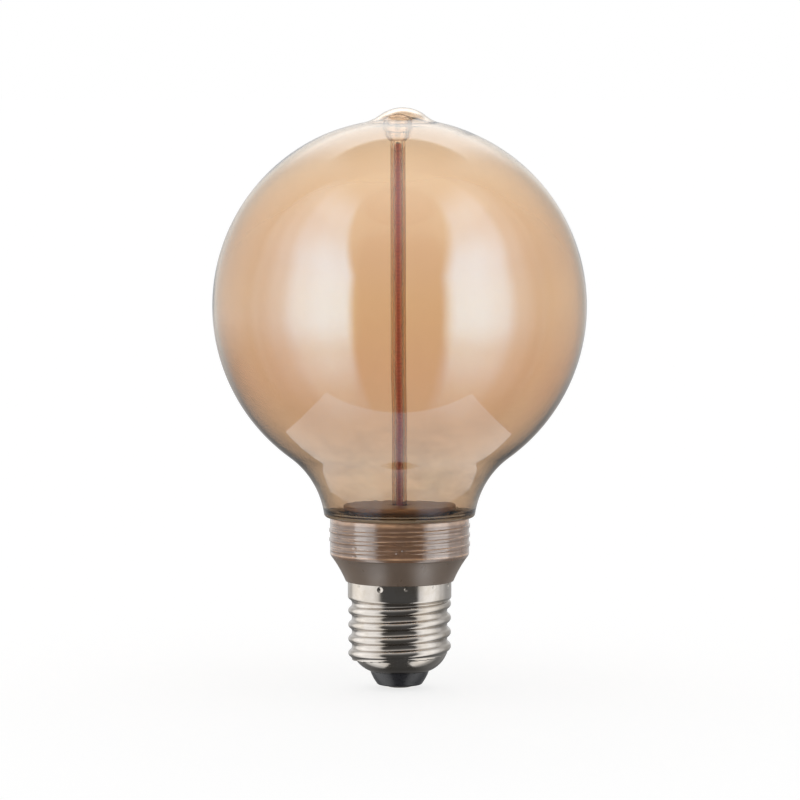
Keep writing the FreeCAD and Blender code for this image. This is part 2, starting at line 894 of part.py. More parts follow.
def make_lug(label, foot, near, far):
    """A metal tab across the bore, under or over the strip's end and out to one wire."""
    body = new_body(label)
    tab = rectangle(0, (near + far) / 2, s.lug_width, far - near)
    raised(body, "tab", [tab], foot, s.lug_thickness)
    lean(body)


def make_filament_wires():
    """The feed wire to the lower lug, and the return wire up behind the strip to the upper lug."""
    drop = tube_foot - board_top + s.board_grip
    for label, reach, end in (("feed_wire", -wire_reach, s.seal_height),
                              ("return_wire", wire_reach, upper_lug_foot)):
        body = new_body(label)
        raised(body, "wire", [], -drop, end + drop, [(0, reach, wire_radius)])
        lean(body)


# Circuit board and what stands on it, in the board's frame with its foot at zero

def make_driver_board():
    """Board with a wide foot for the collar's grooves, and a notch and slit for the fuse resistor."""
    body = new_body("driver_board")
    shoulder = cap_rim + s.board_groove_top - s.fit - board_foot
    head_top = board_top - board_foot
    head = s.board_head_width / 2
    notch = s.notch_width / 2
    notch_height = notch_top - board_foot
    slit = s.slit_width / 2
    slit_end = slit_top - board_foot
    sketch = sketch_on(body, "board_outline", "XZ_Plane", -board_face)
    add_outline(sketch, polygon([
        (notch, 0),
        (board_half_width, 0),
        (board_half_width, shoulder),
        (head, shoulder),
        (head, head_top),
        (-head, head_top),
        (-head, shoulder),
        (-board_half_width, shoulder),
        (-board_half_width, 0),
        (-notch, 0),
        (-notch, notch_height),
        (-slit, notch_height),
        (-slit, slit_end),
        (slit, slit_end),
        (slit, notch_height),
        (notch, notch_height),
    ]))
    pad = body.newObject("PartDesign::Pad", "board")
    pad.Profile = sketch
    pad.Length = s.board_thickness.value
    bind(pad, "Length", s.board_thickness)
    place(body, z=board_foot)


def face_centre(side, thickness):
    """How far from the axis plane the middle of a component on a face of the board lies."""
    return (board_face + s.fit + formula(thickness) / 2) * side


def make_round_component(label, side, offset, rise, diameter, steps):
    """A turned component that stands beside a face of the board."""
    body = new_body(label)
    turned(body, "turning", steps)
    place(body, offset, face_centre(side, diameter), board_foot + rise)
    return body


def make_smoothing_capacitor():
    """Can with the crimp groove near its foot, and two leads bent back to the board."""
    can = s.capacitor_diameter / 2
    rim = can - s.capacitor_rim
    groove = s.capacitor_groove_height
    body = make_round_component("smoothing_capacitor", FRONT, -s.capacitor_offset, s.capacitor_rise,
                                s.capacitor_diameter, polygon([
                                    (0, 0),
                                    (rim, 0),
                                    (can, s.capacitor_rim),
                                    (can, groove - s.capacitor_rim),
                                    (rim, groove),
                                    (can, groove + s.capacitor_rim),
                                    (can, s.capacitor_height - s.capacitor_rim),
                                    (rim, s.capacitor_height),
                                    (0, s.capacitor_height),
                                ]))
    half_spacing = s.capacitor_lead_spacing / 2
    leads = [rectangle(x, can / 2, s.capacitor_lead_width, can)
             for x in (half_spacing, -half_spacing)]
    raised(body, "leads", leads, -s.capacitor_lead_width, s.capacitor_lead_width)


def make_choke():
    """Ferrite bobbin with two flanges, and the copper wound between them."""
    outer = s.choke_diameter / 2
    neck = s.choke_core_diameter / 2
    upper = s.choke_height - s.choke_flange
    make_round_component("choke_core", FRONT, s.choke_offset, s.choke_rise, s.choke_diameter, polygon([
        (0, 0),
        (outer, 0),
        (outer, s.choke_flange),
        (neck, s.choke_flange),
        (neck, upper),
        (outer, upper),
        (outer, s.choke_height),
        (0, s.choke_height),
    ]))
    winding = s.choke_winding_diameter / 2
    make_round_component("choke_winding", FRONT, s.choke_offset, s.choke_rise, s.choke_diameter, polygon([
        (neck + s.fit, s.choke_flange + s.fit),
        (winding, s.choke_flange + s.fit),
        (winding, upper - s.fit),
        (neck + s.fit, upper - s.fit),
    ]))


def make_block(label, side, offset, rise, width, thickness, length):
    """A moulded block on a face of the board; width runs across the board and length up it."""
    body = new_body(label)
    raised(body, "block", [rectangle(0, 0, width, thickness)], 0, length)
    place(body, offset, face_centre(side, thickness), board_foot + rise)
    return body


def add_leads(body, side, count, pitch, width, thickness, length):
    """Flat leads out of both sides of a block, down on the board's face."""
    first = (length - pitch * (count - 1) - s.lead_width) / 2
    plane = (s.lead_thickness - thickness) / 2 * side
    reach = width / 2 + s.lead_reach
    for index in range(count):
        bar = rectangle(0, plane, reach * 2, s.lead_thickness)
        raised(body, "leads_%d" % (index + 1), [bar], first + pitch * index, s.lead_width)


def hung(drop, length):
    """Height above the board's foot of a block whose top lies at a drop below the board's head."""
    return board_top - drop - length - board_foot


def make_board_blocks():
    """Rectifier, driver chip, diode, sense resistors and output capacitor."""
    rectifier = make_block("bridge_rectifier", BACK, -s.rectifier_offset, s.rectifier_rise,
                           s.rectifier_width, s.rectifier_height, s.rectifier_length)
    add_leads(rectifier, BACK, SIZES["rectifier_lead_count"], s.rectifier_lead_pitch,
              s.rectifier_width, s.rectifier_height, s.rectifier_length)
    chip = make_block("driver_chip", BACK, 0, hung(s.chip_drop, s.chip_length),
                      s.chip_width, s.chip_height, s.chip_length)
    add_leads(chip, BACK, SIZES["chip_lead_count"], s.chip_lead_pitch,
              s.chip_width, s.chip_height, s.chip_length)
    make_block("freewheel_diode", BACK, -s.diode_offset, hung(s.diode_drop, s.diode_length),
               s.diode_width, s.diode_height, s.diode_length)
    capacitor_length = s.output_capacitor_height
    make_block("output_capacitor", FRONT, 0, hung(s.output_capacitor_drop, capacitor_length),
               s.output_capacitor_width, s.output_capacitor_depth, capacitor_length)
    for index in range(SIZES["resistor_count"]):
        make_block("sense_resistor_%d" % (index + 1), BACK, s.resistor_offset,
                   s.resistor_rise + s.resistor_spacing * index,
                   s.resistor_width, s.resistor_height, s.resistor_length)


def make_fuse_resistor():
    """Resistor on the axis, one lead down the contact's stem and one up the board's slit."""
    body = new_body("fuse_resistor")
    lead = s.fuse_lead_diameter / 2
    can = s.fuse_diameter / 2
    lead_foot = s.contact_thickness + s.fit
    lead_top = slit_top - s.fit
    turned(body, "resistor", polygon([
        (0, lead_foot),
        (lead, lead_foot),
        (lead, fuse_foot),
        (can, fuse_foot),
        (can, fuse_top),
        (lead, fuse_top),
        (lead, lead_top),
        (0, lead_top),
    ]))
    place(body)


def make_neutral_lead():
    """Wire down the back of the board and out to the inside of the cap."""
    body = new_body("neutral_lead")
    radius = s.neutral_wire_diameter / 2
    bend = s.neutral_wire_bend
    offset = s.neutral_wire_offset
    top = s.neutral_wire_length + bend
    path = sketch_on(body, "wire_path", "XZ_Plane")
    add_outline(path, [
        line(offset, top),
        line(offset, bend),
        arc(offset + bend, 0, bend, 1),
        line(thread_root - s.cap_wall - s.fit * 2, 0),
    ], closed=False)
    section = sketch_on(body, "wire_section", "XY_Plane", top)
    add_disc(section, offset, 0, radius)
    doc.recompute()
    pipe = body.newObject("PartDesign::AdditivePipe", "wire")
    pipe.Profile = section
    pipe.Spine = (path, ["Edge1", "Edge2", "Edge3"])
    height = cap_rim - s.spigot_depth - s.neutral_wire_drop
    place(body, y=board_face + radius + s.fit, z=height)


# Build, check and write

def build():
    make_cap_shell()
    make_cap_insulator()
    make_centre_contact()
    make_collar()
    make_globe_glass()
    make_globe_cement()
    make_stem_platform()
    make_tube_bushing()
    make_filament_tube()
    make_foot_seal()
    make_filament()
    strip_back = -s.filament_depth + s.substrate_thickness / 2
    strip_front = -s.filament_depth - s.substrate_thickness / 2
    make_lug("lower_lug", s.seal_height, -(wire_reach + wire_radius), strip_back)
    make_lug("upper_lug", upper_lug_foot, strip_front, wire_reach + wire_radius)
    make_filament_wires()
    make_driver_board()
    make_smoothing_capacitor()
    make_choke()
    make_board_blocks()
    make_fuse_resistor()
    make_neutral_lead()
    doc.recompute()


def check():
    """Stop at any object that failed, and at any piece that isn't one sound solid."""
    for item in doc.Objects:
        if "Invalid" in item.State or "Error" in item.State:
            raise ValueError("%s failed: %s" % (item.Label, item.State))
    for body in pieces():
        if body.Shape.isNull() or not body.Shape.isValid() or len(body.Shape.Solids) != 1:
            raise ValueError("%s has no sound shape" % body.Label)


def pieces():
    return [item for item in doc.Objects if item.isDerivedFrom("PartDesign::Body")]


def write():
    os.makedirs("parts", exist_ok=True)
    for body in pieces():
        body.Shape.exportStep("parts/%s.step" % body.Label)
        print("%-20s volume %9.2f" % (body.Label, body.Shape.Volume))


build()
check()
write()
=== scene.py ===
# Looks of the globe bulb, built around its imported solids.
# Sizes are in millimetres until a mesh is made; materials, lights and the stage are in metres.
import math

import bpy
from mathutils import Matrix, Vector, noise


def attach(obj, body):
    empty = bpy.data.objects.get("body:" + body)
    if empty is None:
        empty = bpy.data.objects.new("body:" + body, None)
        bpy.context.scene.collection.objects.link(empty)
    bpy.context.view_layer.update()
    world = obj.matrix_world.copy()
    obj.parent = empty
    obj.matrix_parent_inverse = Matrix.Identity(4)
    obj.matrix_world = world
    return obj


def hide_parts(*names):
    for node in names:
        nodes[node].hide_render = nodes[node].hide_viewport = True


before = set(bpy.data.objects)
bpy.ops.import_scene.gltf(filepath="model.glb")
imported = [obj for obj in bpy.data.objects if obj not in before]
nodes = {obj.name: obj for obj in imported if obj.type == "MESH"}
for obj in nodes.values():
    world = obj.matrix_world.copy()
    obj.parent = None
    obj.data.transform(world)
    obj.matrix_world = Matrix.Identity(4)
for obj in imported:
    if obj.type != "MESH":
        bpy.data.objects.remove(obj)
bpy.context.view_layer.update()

MM = 0.001
FRONT = math.radians(270)

# Heights along the axis.
CONTACT_TOP = 0.6
LIP = 4.2
RIM = 27.2
COLLAR_TOP = 43.5
DISC_TOP = 46.9
TUBE_FOOT = 42.13

# Screw cap.
BAND = 13.2
BAND_FOOT = 23.0
BAND_TAPER = 1.3
CREST = 13.1
ROOT = 12.1
PITCH = 3.629
THREAD_START = 8.7
LIP_RADIUS = 7.6
DOME_TOP = 8.8
DOME_RADIUS = 7.5
THREAD_LOW = DOME_TOP - 3.4
THREAD_HIGH = BAND_FOOT + 0.6
CAP_FILLET = 0.16
CAP_WALL = 0.35

# Collar.
SPIGOT = 12.82
RING = 17.7
RING_FOOT = 34.4
CONE_TOP = 33.6
RIDGE_PITCH = 2.35
RIDGE_TURNS = 2.9
RIDGE_START = 35.5
RIDGE_HEIGHT = 0.24
RIDGE_HALF_WIDTH = 0.56
RIDGE_HALF_CREST = 0.32
RIDGE_GAP_TOP = 38.6

# Globe, and its foot turned into the collar. SWEEP is the radius of the neck's hollow curve,
# FLANK that of the hollow curve beside the nipple, and TIP that of the nipple's dome.
SPHERE = 47.5
WALL = 0.9
SWEEP = 22.0
WAIST = 19.0
WAIST_DROP = 2.4
BEAD = 1.0
NIPPLE = 2.8
TIP = 9.5
FLANK = 9.0
NIPPLE_SHIFT = 0.75
SHIFT_FOOT = 140.0
SHIFT_TOP = 146.5
FOOT_END = 36.63
FOOT_TOP = COLLAR_TOP + 0.03
FOOT_OUTER = 16.4
FOOT_INNER = 15.5
FOOT_TINT_TOP = 44.7

# Filament tube.
TUBE_LEAN = math.radians(0.26)
TUBE_LENGTH = 96.888
TUBE = 1.9
BORE = 0.95

# Crimp marks round the cap's rim: angle from the front, height, radius and depth.
DIMPLES = [
    (-52, 26.4, 0.55, 0.14), (-22, 26.15, 0.72, 0.26), (7, 26.35, 0.6, 0.17), (41, 26.5, 0.5, 0.13),
    (69, 26.4, 0.75, 0.22), (99, 26.3, 0.7, 0.2), (128, 26.4, 0.6, 0.16), (159, 26.2, 0.75, 0.24),
    (-170, 26.4, 0.6, 0.18), (-141, 26.4, 0.6, 0.15), (-111, 26.3, 0.7, 0.2), (-82, 26.4, 0.6, 0.18),
]

# Small pits in the collar's ring, given in the same way.
PITS = [(-40.0, 36.8, 0.38, 0.22), (-40.0, 34.75, 0.36, 0.22), (2.4, 36.6, 0.4, 0.2)]

# Sockets of a node that mixes two colours.
FIRST_COLOUR = 6
SECOND_COLOUR = 7
MIXED_COLOUR = 2

# Floor: its glow and the light that its grey scatters add up to the white of the world.
FLOOR_HALF = 9
FLOOR_DROP = 0.0002
FLOOR_GREY = 0.36
FLOOR_GLOW = 0.75

# Soft lights; above an elevation, in radians, they may lean outwards.
BOX_DISTANCE = 1.6
BOX_MIDDLE = 0.09
BOX_LENGTH = 10.0
BOX_LEAN_FROM = 0.35


# Meshes

def arc(start, end, radius, turn, step):
    """Points after start up to end on the short arc; turn is 1 anticlockwise and -1 clockwise."""
    chord = Vector(end) - Vector(start)
    middle = (Vector(start) + Vector(end)) / 2
    left = Vector((-chord.y, chord.x)).normalized()
    reach = math.sqrt(max(radius ** 2 - (chord.length / 2) ** 2, 0))
    centre = middle + left * reach * turn
    first = math.atan2(start[1] - centre.y, start[0] - centre.x)
    last = math.atan2(end[1] - centre.y, end[0] - centre.x)
    sweep = (last - first) * turn % (2 * math.pi) * turn
    count = max(3, math.ceil(abs(sweep) * radius / step))
    return [(centre.x + radius * math.cos(first + sweep * i / count),
             centre.y + radius * math.sin(first + sweep * i / count)) for i in range(1, count + 1)]


def straight(start, end, step):
    """Points after start up to end, evenly spaced."""
    length = math.dist(start, end)
    count = max(1, math.ceil(length / step))
    return [(start[0] + (end[0] - start[0]) * i / count,
             start[1] + (end[1] - start[1]) * i / count) for i in range(1, count + 1)]


def add_object(name, data):
    """Put a new object with this data in the scene."""
    made = bpy.data.objects.new(name, data)
    bpy.context.scene.collection.objects.link(made)
    return made


def add_mesh(name, points, faces, sharp):
    """A smooth-shaded object from points in millimetres; edges bent more than sharp stay crisp."""
    mesh = bpy.data.meshes.new(name)
    mesh.from_pydata([(x * MM, y * MM, z * MM) for x, y, z in points], [], faces)
    mesh.validate()
    mesh.polygons.foreach_set("use_smooth", [True] * len(mesh.polygons))
    mesh.set_sharp_from_angle(angle=math.radians(sharp))
    return add_object(name, mesh)


def faces_round(rows, segments):
    """Faces between neighbouring rows of points, closed round the axis and from last row to first."""
    faces = []
    for index in range(len(rows)):
        lower, upper = rows[index - 1], rows[index]
        for step in range(segments):
            after = (step + 1) % segments
            corners = [lower[step], lower[after], upper[after], upper[step]]
            face = [c for i, c in enumerate(corners) if c not in corners[:i]]
            if len(face) > 2:
                faces.append(face)
    return faces


def lathe(name, outline, segments, shape=None, sharp=32):
    """Turn a closed outline of (radius, height) about the axis; shape moves each point."""
    points = []
    rows = []
    for index, (radius, height) in enumerate(outline):
        if radius < 1e-6:
            rows.append([len(points)] * segments)
            points.append(shape(0.0, 0.0, height, index) if shape else (0.0, 0.0, height))
            continue
        row = []
        for step in range(segments):
            angle = 2 * math.pi * step / segments
            x, y, z = radius * math.cos(angle), radius * math.sin(angle), height
            row.append(len(points))
            points.append(shape(x, y, z, index) if shape else (x, y, z))
        rows.append(row)
    return add_mesh(name, points, faces_round(rows, segments), sharp)


def lean(x, y, z):
    """From the tube's own frame to the lamp's."""
    return (x * math.cos(TUBE_LEAN) - z * math.sin(TUBE_LEAN), y,
            TUBE_FOOT + x * math.sin(TUBE_LEAN) + z * math.cos(TUBE_LEAN))


def from_front(angle, degrees=0.0):
    """Angle from a mark so many degrees round from the front, at most half a turn either way."""
    return (angle - FRONT - math.radians(degrees) + math.pi) % (2 * math.pi) - math.pi


def smoothstep(low, high, value):
    share = min(max((value - low) / (high - low), 0.0), 1.0)
    return share * share * (3 - 2 * share)


def bell(offset, width):
    return math.exp(-(offset / width) ** 2)


def wobble(x, y, z, size, seed):
    """Smooth noise from -1 to 1 at a feature size in millimetres."""
    return noise.noise(Vector((x / size + seed * 17.3, y / size - seed * 5.1, z / size + seed * 3.7)))


# Node trees and materials

class Tree:
    """The node tree of a material, lamp or world, with short ways to add its nodes."""

    def __init__(self, owner):
        owner.use_nodes = True
        self.tree = owner.node_tree

    def node(self, kind, inputs=None, **props):
        """Add a node; each input is linked to a socket or set to a value."""
        made = self.tree.nodes.new(kind)
        for key, value in props.items():
            setattr(made, key, value)
        for key, value in (inputs or {}).items():
            if isinstance(value, bpy.types.NodeSocket):
                self.tree.links.new(value, made.inputs[key])
            else:
                made.inputs[key].default_value = value
        return made

    def math(self, operation, first, second=0.0):
        return self.node("ShaderNodeMath", {0: first, 1: second}, operation=operation).outputs["Value"]

    def split(self, vector):
        """The outputs X, Y and Z of a vector."""
        return self.node("ShaderNodeSeparateXYZ", {"Vector": vector}).outputs

    def scaled(self, vector, factor):
        made = self.node("ShaderNodeVectorMath", {0: vector, "Scale": factor}, operation="SCALE")
        return made.outputs["Vector"]

    def span(self, value, low, high, to_low=0.0, to_high=1.0, kind="LINEAR"):
        """Map low to high onto another range, held at its ends."""
        return self.node("ShaderNodeMapRange", {
            "Value": value, "From Min": low, "From Max": high,
            "To Min": to_low, "To Max": to_high}, interpolation_type=kind).outputs["Result"]

    def ramp(self, value, stops, kind="LINEAR"):
        """Colour along stops of (position, colour)."""
        made = self.node("ShaderNodeValToRGB", {"Fac": value})
        ramp = made.color_ramp
        ramp.interpolation = kind
        while len(ramp.elements) < len(stops):
            ramp.elements.new(0.5)
        for element, (position, colour) in zip(ramp.elements, stops):
            element.position = position
            element.color = (*colour, 1.0)
        return made.outputs["Color"]

    def greys(self, value, stops, kind="LINEAR"):
        """Level along stops of (position, level)."""
        return self.ramp(value, [(position, (level,) * 3) for position, level in stops], kind)

    def mix(self, share, first, second):
        """Colour between two."""
        inputs = {"Factor": share, FIRST_COLOUR: first, SECOND_COLOUR: second}
        return self.node("ShaderNodeMix", inputs, data_type="RGBA").outputs[MIXED_COLOUR]

    def unreflected(self, path):
        """1 for a ray that no surface has reflected yet."""
        reflected = self.math("ADD", path["Glossy Depth"], path["Diffuse Depth"])
        return self.math("LESS_THAN", reflected, 0.5)


class Shader(Tree):
    """A material with one surface shader."""

    def __init__(self, name, base, roughness, metallic=0.0, **numbers):
        self.material = bpy.data.materials.new(name)
        super().__init__(self.material)
        self.surface = self.tree.nodes["Principled BSDF"]
        self.place = self.node("ShaderNodeTexCoord").outputs["Object"]
        self.set("Base Color", (*base, 1.0))
        self.set("Roughness", roughness)
        self.set("Metallic", metallic)
        for key, number in numbers.items():
            self.set(key.replace("_", " "), number)

    def set(self, socket, value):
        self.surface.inputs[socket].default_value = value

    def link(self, output, socket):
        self.tree.links.new(output, self.surface.inputs[socket])

    def height(self):
        """Height along the axis."""
        return self.split(self.place)["Z"]

    def facing(self):
        """0 where the surface faces the ray and 1 where it is seen edge on."""
        return self.node("ShaderNodeLayerWeight", {"Blend": 0.5}).outputs["Facing"]

    def noise(self, scale, detail=3.0, roughness=0.5, stretch=(1, 1, 1)):
        """Noise of scale features a metre, times the factor for each axis in stretch."""
        placed = self.node("ShaderNodeMapping", {"Vector": self.place, "Scale": stretch})
        return self.node("ShaderNodeTexNoise", {
            "Vector": placed.outputs["Vector"], "Scale": scale, "Detail": detail,
            "Roughness": roughness}).outputs["Fac"]

    def spread(self, scale, low=0.0, high=1.0, detail=3.0, stretch=(1, 1, 1)):
        """Noise that fills the range from low to high."""
        return self.span(self.noise(scale, detail, 0.5, stretch), 0.3, 0.7, low, high)

    def bands(self, scale, distortion, **numbers):
        """Wavy bands that follow each other along the axis."""
        inputs = {"Vector": self.place, "Scale": scale, "Distortion": distortion}
        inputs.update((key.replace("_", " "), number) for key, number in numbers.items())
        return self.node("ShaderNodeTexWave", inputs, bands_direction="Z").outputs["Fac"]

    def bump(self, value, distance, strength):
        """Relief of value, distance in millimetres."""
        inputs = {"Height": value, "Strength": strength, "Distance": distance * MM}
        self.link(self.node("ShaderNodeBump", inputs).outputs["Normal"], "Normal")

    def mottle(self, scale, dark, light):
        """Vary the colour between two by noise."""
        self.link(self.ramp(self.spread(scale), [(0.0, dark), (1.0, light)]), "Base Color")

    def uneven(self, scale, low, high):
        """Vary the roughness by noise."""
        self.link(self.spread(scale, low, high, 2.0), "Roughness")


def amber_glass():
    """Glass tinted by height, deeper where it is seen edge on from the longer path and from painted
    shade that grows towards the bottom, with lighter and darker streaks and ripples in its neck.
    """
    made = Shader("amber_glass", (0.86, 0.66, 0.48), 0.0, Transmission_Weight=1.0, IOR=1.7)
    height = made.height()
    gloss = made.scaled((0.25, 0.61, 1.0), made.span(height, 0.046, 0.064, 0.2, 1.0))
    made.link(gloss, "Specular Tint")
    streaks = made.spread(14, -0.02, 0.02, 2.0, (1, 1, 0.35))
    level = made.math("ADD", made.span(height, 0.04, 0.148), streaks)
    tint = made.ramp(level, [
        (0.0, (0.60, 0.465, 0.35)),
        (0.05, (0.64, 0.52, 0.405)),
        (0.09, (0.715, 0.595, 0.475)),
        (0.19, (0.73, 0.595, 0.46)),
        (0.35, (0.78, 0.60, 0.45)),
        (0.54, (0.822, 0.658, 0.487)),
        (0.64, (0.836, 0.667, 0.497)),
        (0.73, (0.872, 0.698, 0.513)),
        (0.82, (0.91, 0.748, 0.56)),
        (0.965, (0.95, 0.83, 0.69)),
        (1.0, (0.935, 0.79, 0.65)),
    ])
    tilt = made.math("ADD", made.facing(), made.span(height, 0.05, 0.07, 0.16, 0.0))
    edge = made.span(tilt, 0.55, 0.95, kind="SMOOTHSTEP")
    # Painted shade on the lower edges, added to the deeper tint of the longer path.
    edge_depth_and_shade = made.math("MULTIPLY", edge, made.span(height, 0.055, 0.11, 0.38, 0.02))
    drawn = made.noise(75, 3.0, 0.6, (1, 1, 2.0))
    neck = made.span(height, 0.060, 0.068, 1.0, 0.0)
    # Lighter and darker streaks along the neck's ripples, from the same noise as their bump.
    streak_tone = made.math("MULTIPLY", made.span(drawn, 0.44, 0.64, -0.065, 0.075), neck)
    keep = made.math("SUBTRACT", 1.0, made.math("ADD", edge_depth_and_shade, streak_tone))
    made.link(made.scaled(tint, keep), "Base Color")
    ripple = made.math("MULTIPLY", drawn, made.math("MULTIPLY", neck, 5.0))
    made.bump(made.math("ADD", made.noise(45, 1.0), ripple), 0.05, 0.25)
    return made.material


def foot_glass():
    """Glass of the turned-in foot, stained by the cement behind it."""
    made = Shader("foot_glass", (0.60, 0.42, 0.28), 0.12, Transmission_Weight=0.5, IOR=1.5,
                  Specular_IOR_Level=0.15)
    around = made.spread(120, stretch=(1, 1, 3))
    stained = made.ramp(around, [(0.0, (0.15, 0.10, 0.055)), (1.0, (0.28, 0.19, 0.11))])
    made.link(stained, "Base Color")
    made.bump(made.noise(160, 2.0), 0.05, 0.4)
    return made.material


def clear_glass():
    """Thin drawn glass with painted reflection and shade at its sides: tan, then a paler band, then
    dark where it is seen edge on, and less so in its head.
    """
    made = Shader("clear_glass", (0.97, 0.95, 0.93), 0.0, Transmission_Weight=1.0, IOR=1.4,
                  Specular_IOR_Level=0.3)
    drawn = made.spread(60, -0.015, 0.015, 2.0, (1, 1, 0.3))
    head = made.span(made.height(), 0.137, 0.1395, 0.0, 0.35)
    tilt = made.math("ADD", made.math("SUBTRACT", made.facing(), head), drawn)
    # Painted reflection and shade by how far the glass is turned from the ray.
    made.link(made.ramp(tilt, [
        (0.11, (0.97, 0.95, 0.93)),
        (0.14, (0.46, 0.30, 0.20)),
        (0.23, (0.50, 0.34, 0.23)),
        (0.30, (0.68, 0.58, 0.47)),
        (0.50, (0.62, 0.52, 0.40)),
        (0.74, (0.30, 0.19, 0.11)),
        (0.95, (0.12, 0.07, 0.04)),
    ]), "Base Color")
    made.bump(made.noise(160, 1.0, 0.5, (1, 1, 0.15)), 0.012, 0.2)
    return made.material


def collar_ring():
    """Glossy translucent ring, painted paler and warmer on the ridge's flanks and at the ring's rims as
    light shining through, with painted highlight lines.
    """
    made = Shader("collar_ring", (0.32, 0.19, 0.12), 0.1, Transmission_Weight=0.1, IOR=1.5,
                  Specular_IOR_Level=0.8, Coat_Weight=1.0, Coat_Roughness=0.04, Coat_IOR=1.7)
    body = made.ramp(made.spread(120), [(0.0, (0.17, 0.087, 0.046)), (1.0, (0.26, 0.137, 0.075))])
    # Painted glow of light shining through the ring's flanks and rims, broken into patches.
    painted_glow = made.node("ShaderNodeAttribute", attribute_name="painted_glow").outputs["Fac"]
    patches = made.span(made.noise(210, 2.0, 0.5, (1, 1, 2.5)), 0.35, 0.65, 0.25, 1.0)
    patchy_glow = made.math("MULTIPLY", painted_glow, patches)
    lines = made.bands(270.0, 1.6, Detail=2.0, Detail_Scale=0.4)
    broken = made.span(made.noise(150), 0.4, 0.65)
    # Painted highlight lines, broken by noise; the same bands also make the bump.
    fine = made.math("MULTIPLY", made.span(lines, 0.7, 1.0, 0.0, 0.6), broken)
    glow = made.mix(made.math("MAXIMUM", patchy_glow, fine), body, (0.92, 0.54, 0.31, 1.0))
    made.link(glow, "Base Color")
    made.uneven(300, 0.08, 0.18)
    made.bump(made.math("ADD", lines, made.noise(900, 2.0, 0.5, (1, 1, 2))), 0.09, 1.0)
    return made.material


def collar_cone():
    """Satin cone under the ring."""
    made = Shader("collar_cone", (0.22, 0.16, 0.12), 0.3, Specular_IOR_Level=0.6, Coat_Weight=0.4,
                  Coat_Roughness=0.28, Coat_IOR=1.6)
    made.mottle(90, (0.17, 0.12, 0.088), (0.23, 0.168, 0.125))
    made.uneven(400, 0.27, 0.36)
    made.bump(made.noise(2600, 3.0), 0.012, 0.6)
    return made.material


def nickel(name, base, roughness):
    """Rolled plated sheet with fine marks round it and a little tarnish."""
    made = Shader(name, base, roughness, 1.0)
    drawn = made.noise(25, 3.0, 0.6, (1, 1, 220))
    bright = made.span(made.noise(180, 4.0, 0.6), 0.35, 0.75)
    tarnished = tuple(c * f for c, f in zip(base, (0.88, 0.85, 0.80)))
    made.link(made.ramp(bright, [(0.0, tarnished), (0.6, base)]), "Base Color")
    made.link(made.span(drawn, 0.3, 0.7, roughness * 0.8, roughness * 1.3), "Roughness")
    made.bump(drawn, 0.003, 0.25)
    return made.material


def plain(name, dark, light, roughness, scale, relief, metallic=0.0):
    """A moulded, fired or drawn surface: mottled colour, uneven gloss and a fine grain."""
    made = Shader(name, light, roughness, metallic)
    made.mottle(scale, dark, light)
    made.uneven(scale * 2, roughness * 0.85, roughness * 1.15)
    made.bump(made.noise(1200, 3.0), relief, 0.5)
    return made.material


def board_green():
    """Green resist with faint copper tracks under it."""
    made = Shader("board_green", (0.03, 0.12, 0.06), 0.35)
    inputs = {"Vector": made.place, "Scale": 180.0, "Mortar Size": 0.06}
    tracks = made.node("ShaderNodeTexBrick", inputs).outputs["Fac"]
    made.link(made.ramp(tracks, [(0.0, (0.035, 0.13, 0.06)), (1.0, (0.06, 0.2, 0.09))]), "Base Color")
    made.bump(made.noise(1500, 2.0), 0.01, 0.4)
    return made.material


def copper_winding():
    """Enamelled turns side by side, painted darker in the grooves and brighter on each turn: painted
    shade and highlight.
    """
    made = Shader("copper_winding", (0.60, 0.25, 0.10), 0.3, 0.9)
    turns = made.bands(1200.0, 0.6)
    # Painted shade in the grooves and painted highlight on the turns, from the same bands as the bump.
    made.link(made.ramp(turns, [(0.0, (0.25, 0.09, 0.04)), (1.0, (0.70, 0.32, 0.14))]), "Base Color")
    made.bump(turns, 0.08, 0.8)
    return made.material


def phosphor():
    """Dense silicone over a row of chips, a little darker between them and warmer towards the top."""
    made = Shader("phosphor", (0.58, 0.20, 0.11), 0.45)
    chips = made.bands(320.0, 0.4)
    grain = made.noise(1500, 2.0)
    blend = made.math("ADD", made.math("MULTIPLY", chips, 0.6), made.math("MULTIPLY", grain, 0.4))
    colour = made.ramp(blend, [(0.2, (0.64, 0.185, 0.13)), (0.8, (0.80, 0.245, 0.18))])
    warmer = made.node("ShaderNodeVectorMath", {0: colour, 1: (1.15, 1.1, 0.42)}, operation="MULTIPLY")
    rise = made.span(made.height(), 0.095, 0.14)
    made.link(made.mix(rise, colour, warmer.outputs["Vector"]), "Base Color")
    made.bump(grain, 0.02, 0.4)
    return made.material


# Pieces

def dress(piece, material, slot, *replaced):
    """Give a new piece its material, put it under the root body and hide the nodes that it stands for;
    slot is not used.
    """
    piece.data.materials.append(material)
    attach(piece, "root")
    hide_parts(*replaced)


def coat(node, material):
    """Give a CAD node its finished material."""
    item = nodes[node]
    if not item.material_slots:
        item.data.materials.append(material)
    for slot in item.material_slots:
        slot.material = material


